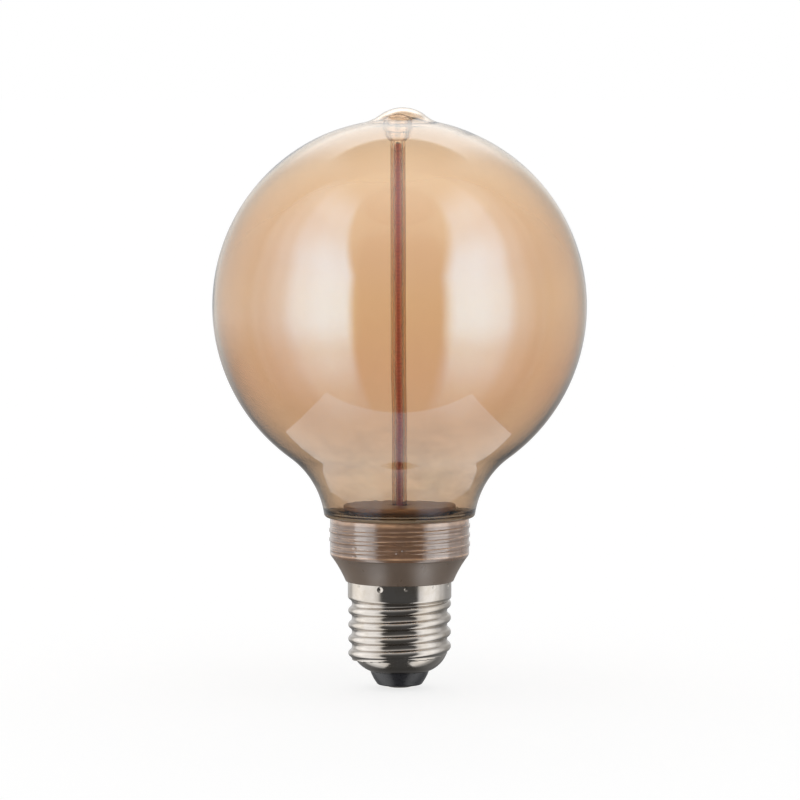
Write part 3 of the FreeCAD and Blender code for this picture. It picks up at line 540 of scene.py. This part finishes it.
def globe_outline(depth):
    """Neck, sphere and nipple from the bead to the crown, for a surface at a depth in the wall."""
    sweep_x = WAIST + SWEEP
    sweep_z = COLLAR_TOP - WAIST_DROP
    centre = sweep_z + math.sqrt((SPHERE + SWEEP) ** 2 - sweep_x ** 2)
    shell = SPHERE - depth
    foot_z = centre - (centre - sweep_z) * shell / (SPHERE + SWEEP)
    foot = (sweep_x * shell / (SPHERE + SWEEP), foot_z)
    tip_rise = SPHERE + NIPPLE - TIP
    flank_reach = SPHERE + FLANK
    tip_reach = TIP + FLANK
    flank_y = (flank_reach ** 2 - tip_reach ** 2 + tip_rise ** 2) / (2 * tip_rise)
    flank_x = math.sqrt(flank_reach ** 2 - flank_y ** 2)
    top = (flank_x * shell / flank_reach, centre + flank_y * shell / flank_reach)
    tip = TIP - depth
    tip_foot_z = centre + tip_rise + (flank_y - tip_rise) * tip / tip_reach
    tip_foot = (flank_x * tip / tip_reach, tip_foot_z)
    apex = (0.0, centre + SPHERE + NIPPLE - depth)
    bead = BEAD + depth
    bead_x = sweep_x - math.sqrt((SWEEP + depth) ** 2 - (bead + WAIST_DROP) ** 2)
    points = [(bead_x - bead, FOOT_TOP + depth)]
    points += arc(points[-1], (bead_x, COLLAR_TOP + bead), bead, 1, 0.2)
    points += arc(points[-1], foot, SWEEP + depth, -1, 1.0)
    points += arc(points[-1], top, shell, 1, 1.1)
    points += arc(points[-1], tip_foot, FLANK + depth, -1, 0.35)
    points += arc(points[-1], apex, tip, 1, 0.4)
    return points


def make_globe():
    """Blown glass: two surfaces, with the nipple drawn a little to the right and slight unevenness."""
    outline = [(FOOT_OUTER, FOOT_END)]
    outline += straight(outline[-1], (FOOT_OUTER, FOOT_TOP), 1.5)
    outline += globe_outline(0)
    inner_first = len(outline)
    outline += [*reversed(globe_outline(WALL)), (FOOT_INNER, FOOT_TOP + WALL)]
    outline += straight(outline[-1], (FOOT_INNER, FOOT_END), 1.5)

    def shape(x, y, z, index):
        pull = NIPPLE_SHIFT * smoothstep(SHIFT_FOOT, SHIFT_TOP, z)
        swell = 0.05 * wobble(x, y, z, 16.0, 1) if index >= inner_first and z > 50 else 0.0
        scale = 1 + swell / SPHERE
        return x * scale + pull, y * scale, z

    globe = lathe("globe", outline, 224, shape, 40)
    dress(globe, amber_glass(), "amber_glass", "globe_glass")
    globe.data.materials.append(foot_glass())
    for face in globe.data.polygons:
        if face.center.z / MM < FOOT_TINT_TOP:
            face.material_index = 1


def make_tube():
    """Clear tube with its hollow head, in the leaning frame."""
    neck, head, hollow = 3.35, 3.8, 2.6
    bowl = TUBE_LENGTH + 1.4
    ring = TUBE_LENGTH + 2.6
    shoulder = TUBE_LENGTH + 5.4
    apex = shoulder + 1.6
    outline = [(BORE, 0.0), (TUBE, 0.0)]
    outline += straight(outline[-1], (TUBE, TUBE_LENGTH), 4.0)
    outline += arc((TUBE, TUBE_LENGTH), (3.2, bowl - 0.15), 2.2, 1, 0.12)
    outline += arc(outline[-1], (neck, bowl + 0.15), 0.4, 1, 0.08)
    outline += straight(outline[-1], (neck, ring - 0.2), 0.3)
    outline += arc(outline[-1], (3.55, ring), 0.2, -1, 0.06)
    outline += arc(outline[-1], (head, ring + 0.25), 0.25, 1, 0.06)
    outline += straight(outline[-1], (head, shoulder - 0.4), 0.5)
    outline += arc(outline[-1], (neck, shoulder + 0.1), 0.7, 1, 0.1)
    outline += arc(outline[-1], (0.0, apex), 4.4, 1, 0.2)
    outline += [(0.0, apex - 1.2)]
    outline += arc(outline[-1], (2.45, shoulder - 0.75), 3.2, -1, 0.2)
    outline += arc(outline[-1], (hollow, shoulder - 1.2), 0.6, -1, 0.1)
    outline += straight(outline[-1], (hollow, ring + 0.1), 0.5)
    outline += arc(outline[-1], (2.15, ring - 0.5), 1.0, -1, 0.1)
    outline += straight(outline[-1], (2.1, bowl + 0.1), 0.3)
    outline += arc(outline[-1], (BORE, TUBE_LENGTH + 0.1), 1.9, -1, 0.12)
    outline += straight(outline[-1], (BORE, 0.0), 4.0)[:-1]

    tube = lathe("tube", outline, 96, lambda x, y, z, index: lean(x, y, z), 50)
    dress(tube, clear_glass(), "clear_glass", "filament_tube")


def make_filament():
    """Bead of phosphor along the front of a strip, a little to the right and of uneven width."""
    foot, top = 4.05, 96.2
    strip, bead, aside = 0.90, 0.80, 0.07
    section = [(-strip, 0.10), (-strip, -0.05), (aside - bead, -0.07)]
    for i in range(1, 10):
        turn = math.pi * i / 10
        section.append((aside - bead * math.cos(turn), -0.12 - 0.34 * math.sin(turn) ** 0.7))
    section += [(aside + bead, -0.07), (strip, -0.05), (strip, 0.10)]
    section += [(0.5, 0.17), (0.0, 0.2), (-0.5, 0.17)]
    around = len(section)
    rows = 186
    points = []
    for row in range(rows + 1):
        height = foot + (top - foot) * row / rows
        swell = 1 + 0.03 * wobble(0.0, 0.0, height, 1.3, 2) - 0.12 * (row in (0, rows))
        for x, y in section:
            points.append(lean(x * swell, y * swell, height))
    faces = [[r * around + i, r * around + (i + 1) % around,
              (r + 1) * around + (i + 1) % around, (r + 1) * around + i]
             for r in range(rows) for i in range(around)]
    faces.append(list(reversed(range(around))))
    faces.append([rows * around + i for i in range(around)])
    piece = add_mesh("filament", points, faces, 60)
    dress(piece, phosphor(), "phosphor", "filament_coating")
    # A pinkish side painted as if lit and a dark side painted in shade: two tones of one strip.
    lit_side = plain("strip_lit_side", (0.68, 0.35, 0.28), (0.84, 0.46, 0.38), 0.5, 700, 0.01)
    shaded_side = plain("strip_shaded_side", (0.30, 0.13, 0.06), (0.44, 0.20, 0.10), 0.5, 700, 0.01)
    piece.data.materials.append(lit_side)
    piece.data.materials.append(shaded_side)
    # Along the section come the left side, in the painted lit colour, the bead, and the right side with
    # the back, in the painted shade colour.
    bead_first, bead_last = 2, 11
    for index, face in enumerate(piece.data.polygons[:rows * around]):
        side = index % around
        if side < bead_first:
            face.material_index = 1
        elif side > bead_last:
            face.material_index = 2


def thread_radius(angle, z):
    """Outer radius of the rolled thread at an angle and height, falling away below its start."""
    turns = (angle / (2 * math.pi) - 0.5) % 1.0
    count = round((z - THREAD_START) / PITCH - turns)
    centre = THREAD_START + PITCH * (turns + count)
    away = abs(z - centre)
    half = PITCH / 4
    depth = CREST - ROOT
    round_radius = (half ** 2 + (depth / 2) ** 2) / depth
    if away <= half:
        drop = round_radius - math.sqrt(round_radius ** 2 - away ** 2)
    else:
        drop = depth - round_radius + math.sqrt(round_radius ** 2 - (2 * half - away) ** 2)
    below = THREAD_START - centre
    if below > 0:
        drop += 2.5 * below / (PITCH / 2)
    return CREST - drop


def dimple_depth(angle, z):
    """How far the crimp marks push the band in, with a faint swell round each."""
    push = 0.0
    for degrees, height, radius, depth in DIMPLES:
        away = math.hypot(from_front(angle, degrees) * BAND, z - height) / radius
        if away < 1.6:
            push += depth * (1 - smoothstep(0.15, 1.0, away))
            push -= 0.12 * depth * bell(away - 1.15, 0.2)
    return push


def cap_outline():
    """Core of the cap from the lip to the rim, with the rim's edge rounded."""
    points = [(LIP_RADIUS - 0.12, LIP), (LIP_RADIUS + 0.1, LIP + 0.03)]
    points += arc(points[-1], (ROOT, DOME_TOP), DOME_RADIUS, 1, 0.14)
    points += straight(points[-1], (ROOT, BAND_FOOT - BAND_TAPER), 0.13)
    points += arc(points[-1], (BAND - 0.5, BAND_FOOT - 0.45), 1.4, -1, 0.13)
    points += arc(points[-1], (BAND, BAND_FOOT + 0.2), 0.8, 1, 0.1)
    points += straight(points[-1], (BAND, RIM - 0.15), 0.13)
    points += arc(points[-1], (BAND - 0.15, RIM), 0.15, 1, 0.05)
    return points


def cap_radius(core, angle, z):
    """Radius of the cap's outer face: core and thread with a fillet between, less the crimp marks."""
    ridge = thread_radius(angle, z) if THREAD_LOW < z < THREAD_HIGH else 0.0
    blend = max(CAP_FILLET - abs(core - ridge), 0.0)
    radius = max(core, ridge) + blend * blend / (4 * CAP_FILLET)
    if z > BAND_FOOT + 1:
        radius -= dimple_depth(angle, z)
    return radius


def make_cap():
    """Rolled screw shell with its thread, crimp marks and inner surface."""
    outer = cap_outline()
    # The inner surface is as smooth with a quarter of the rows.
    inner = outer[:1] + outer[1:-1:4] + outer[-1:]
    segments = 360
    points = []
    rows = []
    for depth, outline in ((0.0, outer), (CAP_WALL, list(reversed(inner)))):
        for core, z in outline:
            row = []
            for step in range(segments):
                angle = 2 * math.pi * step / segments
                radius = cap_radius(core, angle, z) - depth
                row.append(len(points))
                points.append((radius * math.cos(angle), radius * math.sin(angle), z))
            rows.append(row)
    cap = add_mesh("cap", points, faces_round(rows, segments), 50)
    dress(cap, nickel("cap_nickel", (0.50, 0.468, 0.435), 0.13), "cap_nickel", "cap_shell")


def make_insulator():
    """Moulded black insulator with softened corners and its flange inside the dome."""
    bore, flange, flange_top = 1.15, 9.0, 6.4
    outline = [(bore, CONTACT_TOP), (4.2, CONTACT_TOP)]
    outline += arc((5.0, CONTACT_TOP), (5.95, 1.15), 0.9, 1, 0.08)
    outline += arc(outline[-1], (7.5, LIP - 0.1), 12.0, 1, 0.2)
    outline += arc(outline[-1], (7.45, LIP), 0.1, 1, 0.05)
    outline += [(7.22, LIP), (7.22, LIP + 0.25)]
    outline += [(flange, 5.1), (flange, flange_top), (bore, flange_top)]
    piece = lathe("insulator", outline, 144)
    material = plain("cap_black", (0.022, 0.022, 0.026), (0.036, 0.036, 0.042), 0.30, 500, 0.02)
    dress(piece, material, "cap_black", "cap_insulator")


def make_contact():
    """Pressed contact disc with a rolled edge, a flat face and its hollow stem."""
    stem, hollow, stem_top = 1.1, 0.45, 6.7
    outline = [(0.0, 0.12), (0.55, 0.12), (0.75, 0.02), (0.9, 0.0), (2.55, 0.0)]
    outline += arc(outline[-1], (2.8, 0.05), 0.6, 1, 0.08)
    outline += straight(outline[-1], (4.05, 0.40), 0.4)
    outline += arc(outline[-1], (4.15, CONTACT_TOP), 0.15, 1, 0.05)
    outline += [(stem, CONTACT_TOP), (stem, stem_top), (hollow, stem_top), (hollow, CONTACT_TOP)]
    outline += [(0.0, CONTACT_TOP)]
    piece = lathe("contact", outline, 120)
    dress(piece, nickel("contact_plate", (0.44, 0.36, 0.27), 0.2), "cap_nickel", "centre_contact")


def ridge_rise(angle, z):
    """How far the collar's ridge stands out at an angle and height."""
    turns = (angle / (2 * math.pi) - 0.5) % 1.0
    count = round((z - RIDGE_START) / RIDGE_PITCH - turns)
    along = turns + count
    # Past either end of the ridge, its nearest turn counts.
    if along < 0:
        along += 1
    if along > RIDGE_TURNS:
        along -= 1
    away = abs(z - RIDGE_START - RIDGE_PITCH * along)
    rise = RIDGE_HEIGHT * (1 - smoothstep(RIDGE_HALF_CREST, RIDGE_HALF_WIDTH, away))
    rise *= smoothstep(0.0, 0.05, along) * (1 - smoothstep(RIDGE_TURNS - 0.05, RIDGE_TURNS, along))
    gap = smoothstep(0.6, 1.6, abs(from_front(angle) - 0.02) * RING)
    return rise * (gap if z < RIDGE_GAP_TOP else 1.0)


def ring_marks(angle, z):
    """Pits, the mould's parting line and the small wedge where the thread begins."""
    change = 0.0
    for degrees, height, radius, depth in PITS:
        away = math.hypot(from_front(angle, degrees) * RING, z - height) / radius
        change -= depth * (1 - smoothstep(0.2, 1.0, away))
    across = from_front(angle) * RING
    change += 0.035 * bell(across - 0.35, 0.12) * (1 - smoothstep(38.2, 39.0, z))
    beside = abs(z - RIDGE_START)
    wedge_line = beside * 0.75 - 1.35
    wedge = bell(across - wedge_line, 0.17) * (1 - smoothstep(0.7, 1.0, beside))
    return change + 0.16 * wedge


def painted_glow_share(x, y, z):
    """From 0 to 1, how much painted glow of light shining through the collar it gets: on the ridge's
    flanks and at the ring's rims.
    """
    radius = math.hypot(x, y)
    angle = math.atan2(y, x) % (2 * math.pi)
    outside = radius > RING - 0.3 and RING_FOOT < z < COLLAR_TOP - 0.2
    rise = ridge_rise(angle, z) / RIDGE_HEIGHT if outside else 0.0
    faint = smoothstep(1.0, 4.0, abs(from_front(angle)) * RING) if z < RIDGE_GAP_TOP else 1.0
    rims = bell(z - RING_FOOT, 0.22) + bell(z - COLLAR_TOP + 0.55, 0.6)
    return min(4 * rise * (1 - rise) * faint + (rims if radius > 16.9 else 0.0), 1.0)


def make_collar():
    """Moulded collar: satin cone, glossy ring with its single-start ridge, spigot and ledges."""
    mouth, ledge, well, spigot_bore = 16.8, 15.3, 13.2, 10.82
    outline = [(SPIGOT, BAND_FOOT), (SPIGOT, RIM), (13.7, RIM)]
    outline += arc(outline[-1], (13.78, RIM + 0.08), 0.08, 1, 0.04)
    outline += straight(outline[-1], (14.1, 28.0), 0.2)
    outline += arc(outline[-1], (17.2, 33.3), 30.0, -1, 0.3)
    outline += arc(outline[-1], (RING, RING_FOOT), 1.6, 1, 0.12)
    outline += straight(outline[-1], (RING, COLLAR_TOP - 0.3), 0.085)
    outline += arc(outline[-1], (RING - 0.3, COLLAR_TOP), 0.3, 1, 0.08)
    outline += [(mouth, COLLAR_TOP), (mouth, 36.6), (ledge, 36.6), (ledge, 34.6), (well, 34.6)]
    outline += [(well, 30.2), (spigot_bore, RIM), (spigot_bore, BAND_FOOT)]

    def shape(x, y, z, index):
        radius = math.hypot(x, y)
        if radius < RING - 0.5 or z < CONE_TOP or z > COLLAR_TOP - 0.2:
            return x, y, z
        angle = math.atan2(y, x) % (2 * math.pi)
        rise = ring_marks(angle, z)
        if z > RING_FOOT:
            rise += ridge_rise(angle, z)
        scale = (radius + rise) / radius
        return x * scale, y * scale, z

    piece = lathe("collar_body", outline, 320, shape, 45)
    # Painted glow of light shining through, kept on the mesh for the ring's colour.
    painted_glow = [painted_glow_share(*(vertex.co / MM)) for vertex in piece.data.vertices]
    piece.data.attributes.new("painted_glow", "FLOAT", "POINT").data.foreach_set("value", painted_glow)
    dress(piece, collar_ring(), "collar_brown", "collar")
    piece.data.materials.append(collar_cone())
    for face in piece.data.polygons:
        x, y, z = face.center / MM
        outside = math.hypot(x, y) > 12.8
        if z < CONE_TOP and (outside or z < 30.3):
            face.material_index = 1


def make_platform():
    """Disc with a soft edge, a faint groove and a dip round the tube, its skirt, flange and socket."""
    edge, skirt, bore, flange, socket = 14.3, 12.8, 11.6, 15.27, 4.2
    tube_seat, wire_hole = 2.9, 1.2
    under = DISC_TOP - 1.2
    outline = [(tube_seat, DISC_TOP), (3.2, DISC_TOP)]
    outline += straight(outline[-1], (edge - 0.4, DISC_TOP), 0.35)
    outline += arc(outline[-1], (edge, DISC_TOP - 0.4), 0.4, -1, 0.07)
    outline += straight(outline[-1], (edge, under + 0.1), 0.3)
    outline += [(edge - 0.1, under), (skirt, under), (skirt, 36.1), (flange, 36.1), (flange, 34.6)]
    outline += [(bore, 34.6), (bore, under), (socket, under), (socket, 41.3)]
    outline += [(wire_hole, 41.3), (wire_hole, 42.1), (tube_seat, 42.1)]

    def shape(x, y, z, index):
        radius = math.hypot(x, y)
        if z > DISC_TOP - 0.01 and radius > 3.1:
            z -= 0.1 * (1 - smoothstep(3.3, 4.1, radius)) + 0.08 * bell(radius - 12.6, 0.25)
        return x, y, z

    piece = lathe("platform", outline, 144, shape)
    material = plain("platform_brown", (0.30, 0.205, 0.15), (0.38, 0.265, 0.195), 0.36, 160, 0.02)
    dress(piece, material, "platform_brown", "stem_platform")


def coat_nodes():
    """Finish the CAD nodes that stay as they are."""
    black = plain("component_black", (0.018, 0.018, 0.02), (0.03, 0.03, 0.034), 0.5, 900, 0.03)
    wire = plain("wire_metal", (0.42, 0.40, 0.37), (0.55, 0.53, 0.50), 0.28, 700, 0.005, 1.0)
    metal = plain("lug_metal", (0.40, 0.38, 0.35), (0.55, 0.52, 0.48), 0.32, 500, 0.01, 1.0)
    finishes = {
        "globe_cement": plain("cement", (0.30, 0.20, 0.12), (0.42, 0.29, 0.18), 0.7, 700, 0.08),
        "filament_substrate": plain("substrate", (0.72, 0.70, 0.66), (0.82, 0.81, 0.78), 0.5, 900,
                                    0.01),
        "upper_lug": metal,
        "lower_lug": metal,
        "return_wire": wire,
        "feed_wire": wire,
        "neutral_lead": wire,
        "foot_seal": plain("seal", (0.52, 0.50, 0.44), (0.66, 0.63, 0.57), 0.4, 900, 0.02),
        "tube_bushing": plain("silicone", (0.22, 0.17, 0.14), (0.30, 0.24, 0.20), 0.55, 500, 0.02),
        "driver_board": board_green(),
        "bridge_rectifier": black,
        "driver_chip": black,
        "freewheel_diode": black,
        "sense_resistor_1": black,
        "sense_resistor_2": black,
        "smoothing_capacitor": plain("can_sleeve", (0.05, 0.055, 0.07), (0.08, 0.085, 0.10), 0.3, 400,
                                     0.01),
        "choke_core": plain("ferrite", (0.04, 0.04, 0.042), (0.075, 0.075, 0.078), 0.6, 800, 0.04),
        "choke_winding": copper_winding(),
        "output_capacitor": plain("film_box", (0.40, 0.26, 0.05), (0.50, 0.34, 0.08), 0.35, 500, 0.01),
        "fuse_resistor": plain("resistor_body", (0.14, 0.20, 0.15), (0.20, 0.27, 0.20), 0.45, 700,
                               0.02),
    }
    for node, material in finishes.items():
        coat(node, material)


# Stage: floor, studio light and camera

def make_floor():
    """Pale floor that keeps the lamp's shadow, and is clear to light reflected inside the glass."""
    mesh = bpy.data.meshes.new("floor")
    corners = [(-FLOOR_HALF, -FLOOR_HALF), (FLOOR_HALF, -FLOOR_HALF),
               (FLOOR_HALF, FLOOR_HALF), (-FLOOR_HALF, FLOOR_HALF)]
    mesh.from_pydata([(x, y, -FLOOR_DROP) for x, y in corners], [], [(0, 1, 2, 3)])
    floor = add_object("floor", mesh)
    floor.visible_glossy = False
    floor.visible_shadow = False
    material = bpy.data.materials.new("floor_pale")
    made = Tree(material)
    made.tree.nodes.clear()
    path = made.node("ShaderNodeLightPath").outputs
    seen = made.math("MAXIMUM", path["Is Camera Ray"], path["Is Transmission Ray"])
    glow = made.node("ShaderNodeEmission", {"Strength": made.math("MULTIPLY", seen, FLOOR_GLOW)})
    matt = made.node("ShaderNodeBsdfDiffuse", {"Color": (FLOOR_GREY, FLOOR_GREY, FLOOR_GREY, 1.0)})
    both = made.node("ShaderNodeAddShader", {0: glow.outputs["Emission"], 1: matt.outputs["BSDF"]})
    reflected = made.math("GREATER_THAN", path["Glossy Depth"], 0.5)
    inside = made.math("MULTIPLY", reflected, path["Is Transmission Ray"])
    clear = made.node("ShaderNodeBsdfTransparent")
    mixed = made.node("ShaderNodeMixShader", {
        "Fac": inside, 1: both.outputs["Shader"], 2: clear.outputs["BSDF"]})
    made.node("ShaderNodeOutputMaterial", {"Surface": mixed.outputs["Shader"]})
    mesh.materials.append(material)


class Lamp(Tree):
    """An area light with a node tree, dark where it would be seen straight through glass."""

    def __init__(self, name, size, radiance, place, aim):
        data = bpy.data.lights.new(name, "AREA")
        data.shape = "RECTANGLE"
        data.size, data.size_y = size
        # With this energy, the lamp's radiance is the strength that its nodes give.
        data.energy = math.pi * size[0] * size[1]
        super().__init__(data)
        self.tree.nodes.clear()
        self.radiance = radiance
        self.item = add_object(name, data)
        self.item.location = place
        self.item.rotation_euler = Vector(aim).to_track_quat("-Z", "Y").to_euler()
        self.item.visible_camera = False

    def profile(self, value, stops):
        """Level along an angle in radians, from stops in degrees."""
        first, last = math.radians(stops[0][0]), math.radians(stops[-1][0])
        share = self.math("DIVIDE", self.math("SUBTRACT", value, first), last - first)
        placed = [((math.radians(angle) - first) / (last - first), level) for angle, level in stops]
        return self.greys(share, placed, "EASE")

    def light(self, level):
        """Finish the tree with a level over the lamp's face."""
        path = self.node("ShaderNodeLightPath").outputs
        crossed = self.math("GREATER_THAN", path["Transmission Depth"], 0.5)
        through = self.math("MULTIPLY", crossed, self.unreflected(path))
        shown = self.math("SUBTRACT", 1.0, through)
        strength = self.math("MULTIPLY", self.math("MULTIPLY", level, self.radiance), shown)
        emit = self.node("ShaderNodeEmission", {"Strength": strength})
        self.node("ShaderNodeOutputLight", {"Surface": emit.outputs["Emission"]})
        return self.item


def softbox(name, side, azimuths, elevations, radiance, lean_out=0.0):
    """A tall soft light on one side; its stops give the level at each azimuth and elevation."""
    inner, outer = math.radians(azimuths[0][0]), math.radians(azimuths[-1][0])
    middle = (inner + outer) / 2
    half_width = BOX_DISTANCE * math.tan((outer - inner) / 2)
    place = (side * BOX_DISTANCE * math.sin(middle), -BOX_DISTANCE * math.cos(middle), BOX_MIDDLE)
    aim = (-place[0], -place[1], 0)
    lamp = Lamp(name, (2 * half_width, BOX_LENGTH), radiance, place, aim)
    spot = lamp.split(lamp.node("ShaderNodeNewGeometry").outputs["Position"])
    across = lamp.math("MULTIPLY", spot["X"], side)
    ahead = lamp.math("MULTIPLY", spot["Y"], -1.0)
    across_squared = lamp.math("MULTIPLY", across, across)
    ahead_squared = lamp.math("MULTIPLY", ahead, ahead)
    reach = lamp.math("SQRT", lamp.math("ADD", across_squared, ahead_squared))
    elevation = lamp.math("ARCTAN2", lamp.math("SUBTRACT", spot["Z"], BOX_MIDDLE), reach)
    above = lamp.math("MAXIMUM", lamp.math("SUBTRACT", elevation, BOX_LEAN_FROM), 0.0)
    leant = lamp.math("MULTIPLY", above, lean_out)
    azimuth = lamp.math("SUBTRACT", lamp.math("ARCTAN2", across, ahead), leant)
    level = lamp.math("MULTIPLY", lamp.profile(azimuth, azimuths), lamp.profile(elevation, elevations))
    return lamp.light(level)


def link_lights(lamps, receivers, name):
    """Let these lamps light only these pieces."""
    group = bpy.data.collections.new(name)
    for item in receivers:
        group.objects.link(item)
    for item in lamps:
        item.light_linking.receiver_collection = group


def make_lights():
    """Pairs of soft lights for the globe, the collar and the rest, and a pale board under the globe."""
    globe = bpy.data.objects["globe"]
    collar = bpy.data.objects["collar_body"]
    floor = bpy.data.objects["floor"]
    others = [item for item in bpy.context.scene.objects
              if item.type == "MESH" and item not in (globe, collar, floor)]
    rise = [(-70, 0.0), (-52, 0.13), (-26, 0.46), (-4, 1.0), (24, 1.0), (50, 0.5), (72, 0.0)]
    left = softbox(
        "light_globe_left", -1,
        [(26, 0.0), (34, 0.92), (47, 1.0), (65, 0.8), (80, 0.38), (96, 0.15), (108, 0.0)],
        rise, 4.3, lean_out=0.45)
    right = softbox(
        "light_globe_right", 1,
        [(23.5, 0.0), (36, 0.95), (50, 1.0), (65, 0.82), (80, 0.28), (96, 0.08), (108, 0.0)],
        rise, 4.3, lean_out=0.45)
    board_size = (0.170, 0.116)
    board_place = (-0.0015, -0.0175, -0.0004)
    upwards = (0, 0, 1)
    board = Lamp("light_board", board_size, 0.78, board_place, upwards)
    board.light(1.0)
    link_lights([left, right, board.item], [globe], "globe_receivers")
    spread = [(-70, 0.75), (-50, 1.0), (-20, 1.0), (15, 1.0), (40, 0.6), (60, 0.0)]
    low_left = softbox(
        "light_base_left", -1,
        [(40, 0.0), (51, 0.75), (62, 0.95), (95, 1.0), (122, 0.55), (138, 0.0)],
        spread, 1.5)
    low_right = softbox(
        "light_base_right", 1,
        [(38, 0.0), (47, 0.7), (60, 1.0), (80, 1.0), (92, 0.75), (106, 0.3), (126, 0.0)],
        spread, 1.55)
    link_lights([low_left, low_right], others, "base_receivers")
    band = [(-76, 0.45), (-56, 0.8), (-40, 0.35), (-25, 0.5),
            (-10, 1.0), (6, 1.0), (22, 0.5), (38, 0.0)]
    ring_left = softbox(
        "light_ring_left", -1,
        [(33, 0.0), (48, 0.7), (60, 1.0), (76, 1.0), (82, 0.35), (105, 0.15), (125, 0.0)],
        band, 2.9)
    ring_right = softbox(
        "light_ring_right", 1,
        [(36, 0.0), (52, 0.8), (66, 1.0), (84, 0.9), (92, 0.35), (110, 0.15), (125, 0.0)],
        band, 2.9)
    link_lights([ring_left, ring_right], [collar], "ring_receivers")


def make_world():
    """White to the eye and through glass; a dim front and a bright back and top for reflections."""
    world = bpy.data.worlds.new("studio")
    bpy.context.scene.world = world
    made = Tree(world)
    made.tree.nodes.clear()
    direction = made.split(made.node("ShaderNodeTexCoord").outputs["Generated"])
    height = made.span(direction["Z"], -1.0, 1.0)
    behind = made.span(direction["Y"], -0.15, 0.5, kind="SMOOTHSTEP")
    front = made.greys(height, [(0.0, 0.08), (0.45, 0.10), (0.55, 0.13), (0.8, 0.45), (0.98, 1.0)])
    right = made.greys(height, [(0.0, 0.10), (0.3, 0.30), (0.46, 0.56), (0.6, 0.58), (1.0, 0.9)])
    left = made.greys(height, [
        (0.0, 0.12), (0.2, 0.2), (0.36, 0.35), (0.46, 0.85), (0.6, 0.75), (1.0, 0.9)])
    centre = made.greys(height, [
        (0.0, 0.04), (0.36, 0.14), (0.46, 0.42), (0.55, 0.52), (0.66, 0.62), (0.72, 1.0),
        (0.882, 1.0), (0.90, 0.2), (1.0, 0.25)])
    to_right = made.span(direction["X"], 0.22, 0.45, kind="SMOOTHSTEP")
    to_left = made.span(direction["X"], -0.22, -0.45, kind="SMOOTHSTEP")
    back = made.mix(to_left, made.mix(to_right, made.scaled(centre, 1.5), right), left)
    studio = made.mix(behind, front, back)
    path = made.node("ShaderNodeLightPath").outputs
    through = made.math("MULTIPLY", path["Is Transmission Ray"], made.unreflected(path))
    white = made.math("MAXIMUM", path["Is Camera Ray"], through)
    colour = made.mix(white, studio, (1.0, 1.0, 1.0, 1.0))
    background = made.node("ShaderNodeBackground", {"Color": colour, "Strength": 1.0})
    made.node("ShaderNodeOutputWorld", {"Surface": background.outputs["Background"]})


def make_camera():
    """A long lens a little above the lamp's middle, at the photograph's angle."""
    data = bpy.data.cameras.new("camera")
    data.sensor_width = 36.0
    data.lens = 225.0
    camera = add_object("camera", data)
    elevation = math.radians(4.4)
    distance = 1.27
    target = Vector((0.0001, 0.0, 0.0733))
    back = Vector((0.0, -math.cos(elevation), math.sin(elevation)))
    camera.location = target + back * distance
    camera.rotation_euler = (-back).to_track_quat("-Z", "Y").to_euler()
    bpy.context.scene.camera = camera


make_globe()
make_tube()
make_filament()
make_cap()
make_insulator()
make_contact()
make_collar()
make_platform()
coat_nodes()
make_floor()
make_lights()
make_world()
make_camera()
bpy.context.scene.view_settings.view_transform = "Standard"
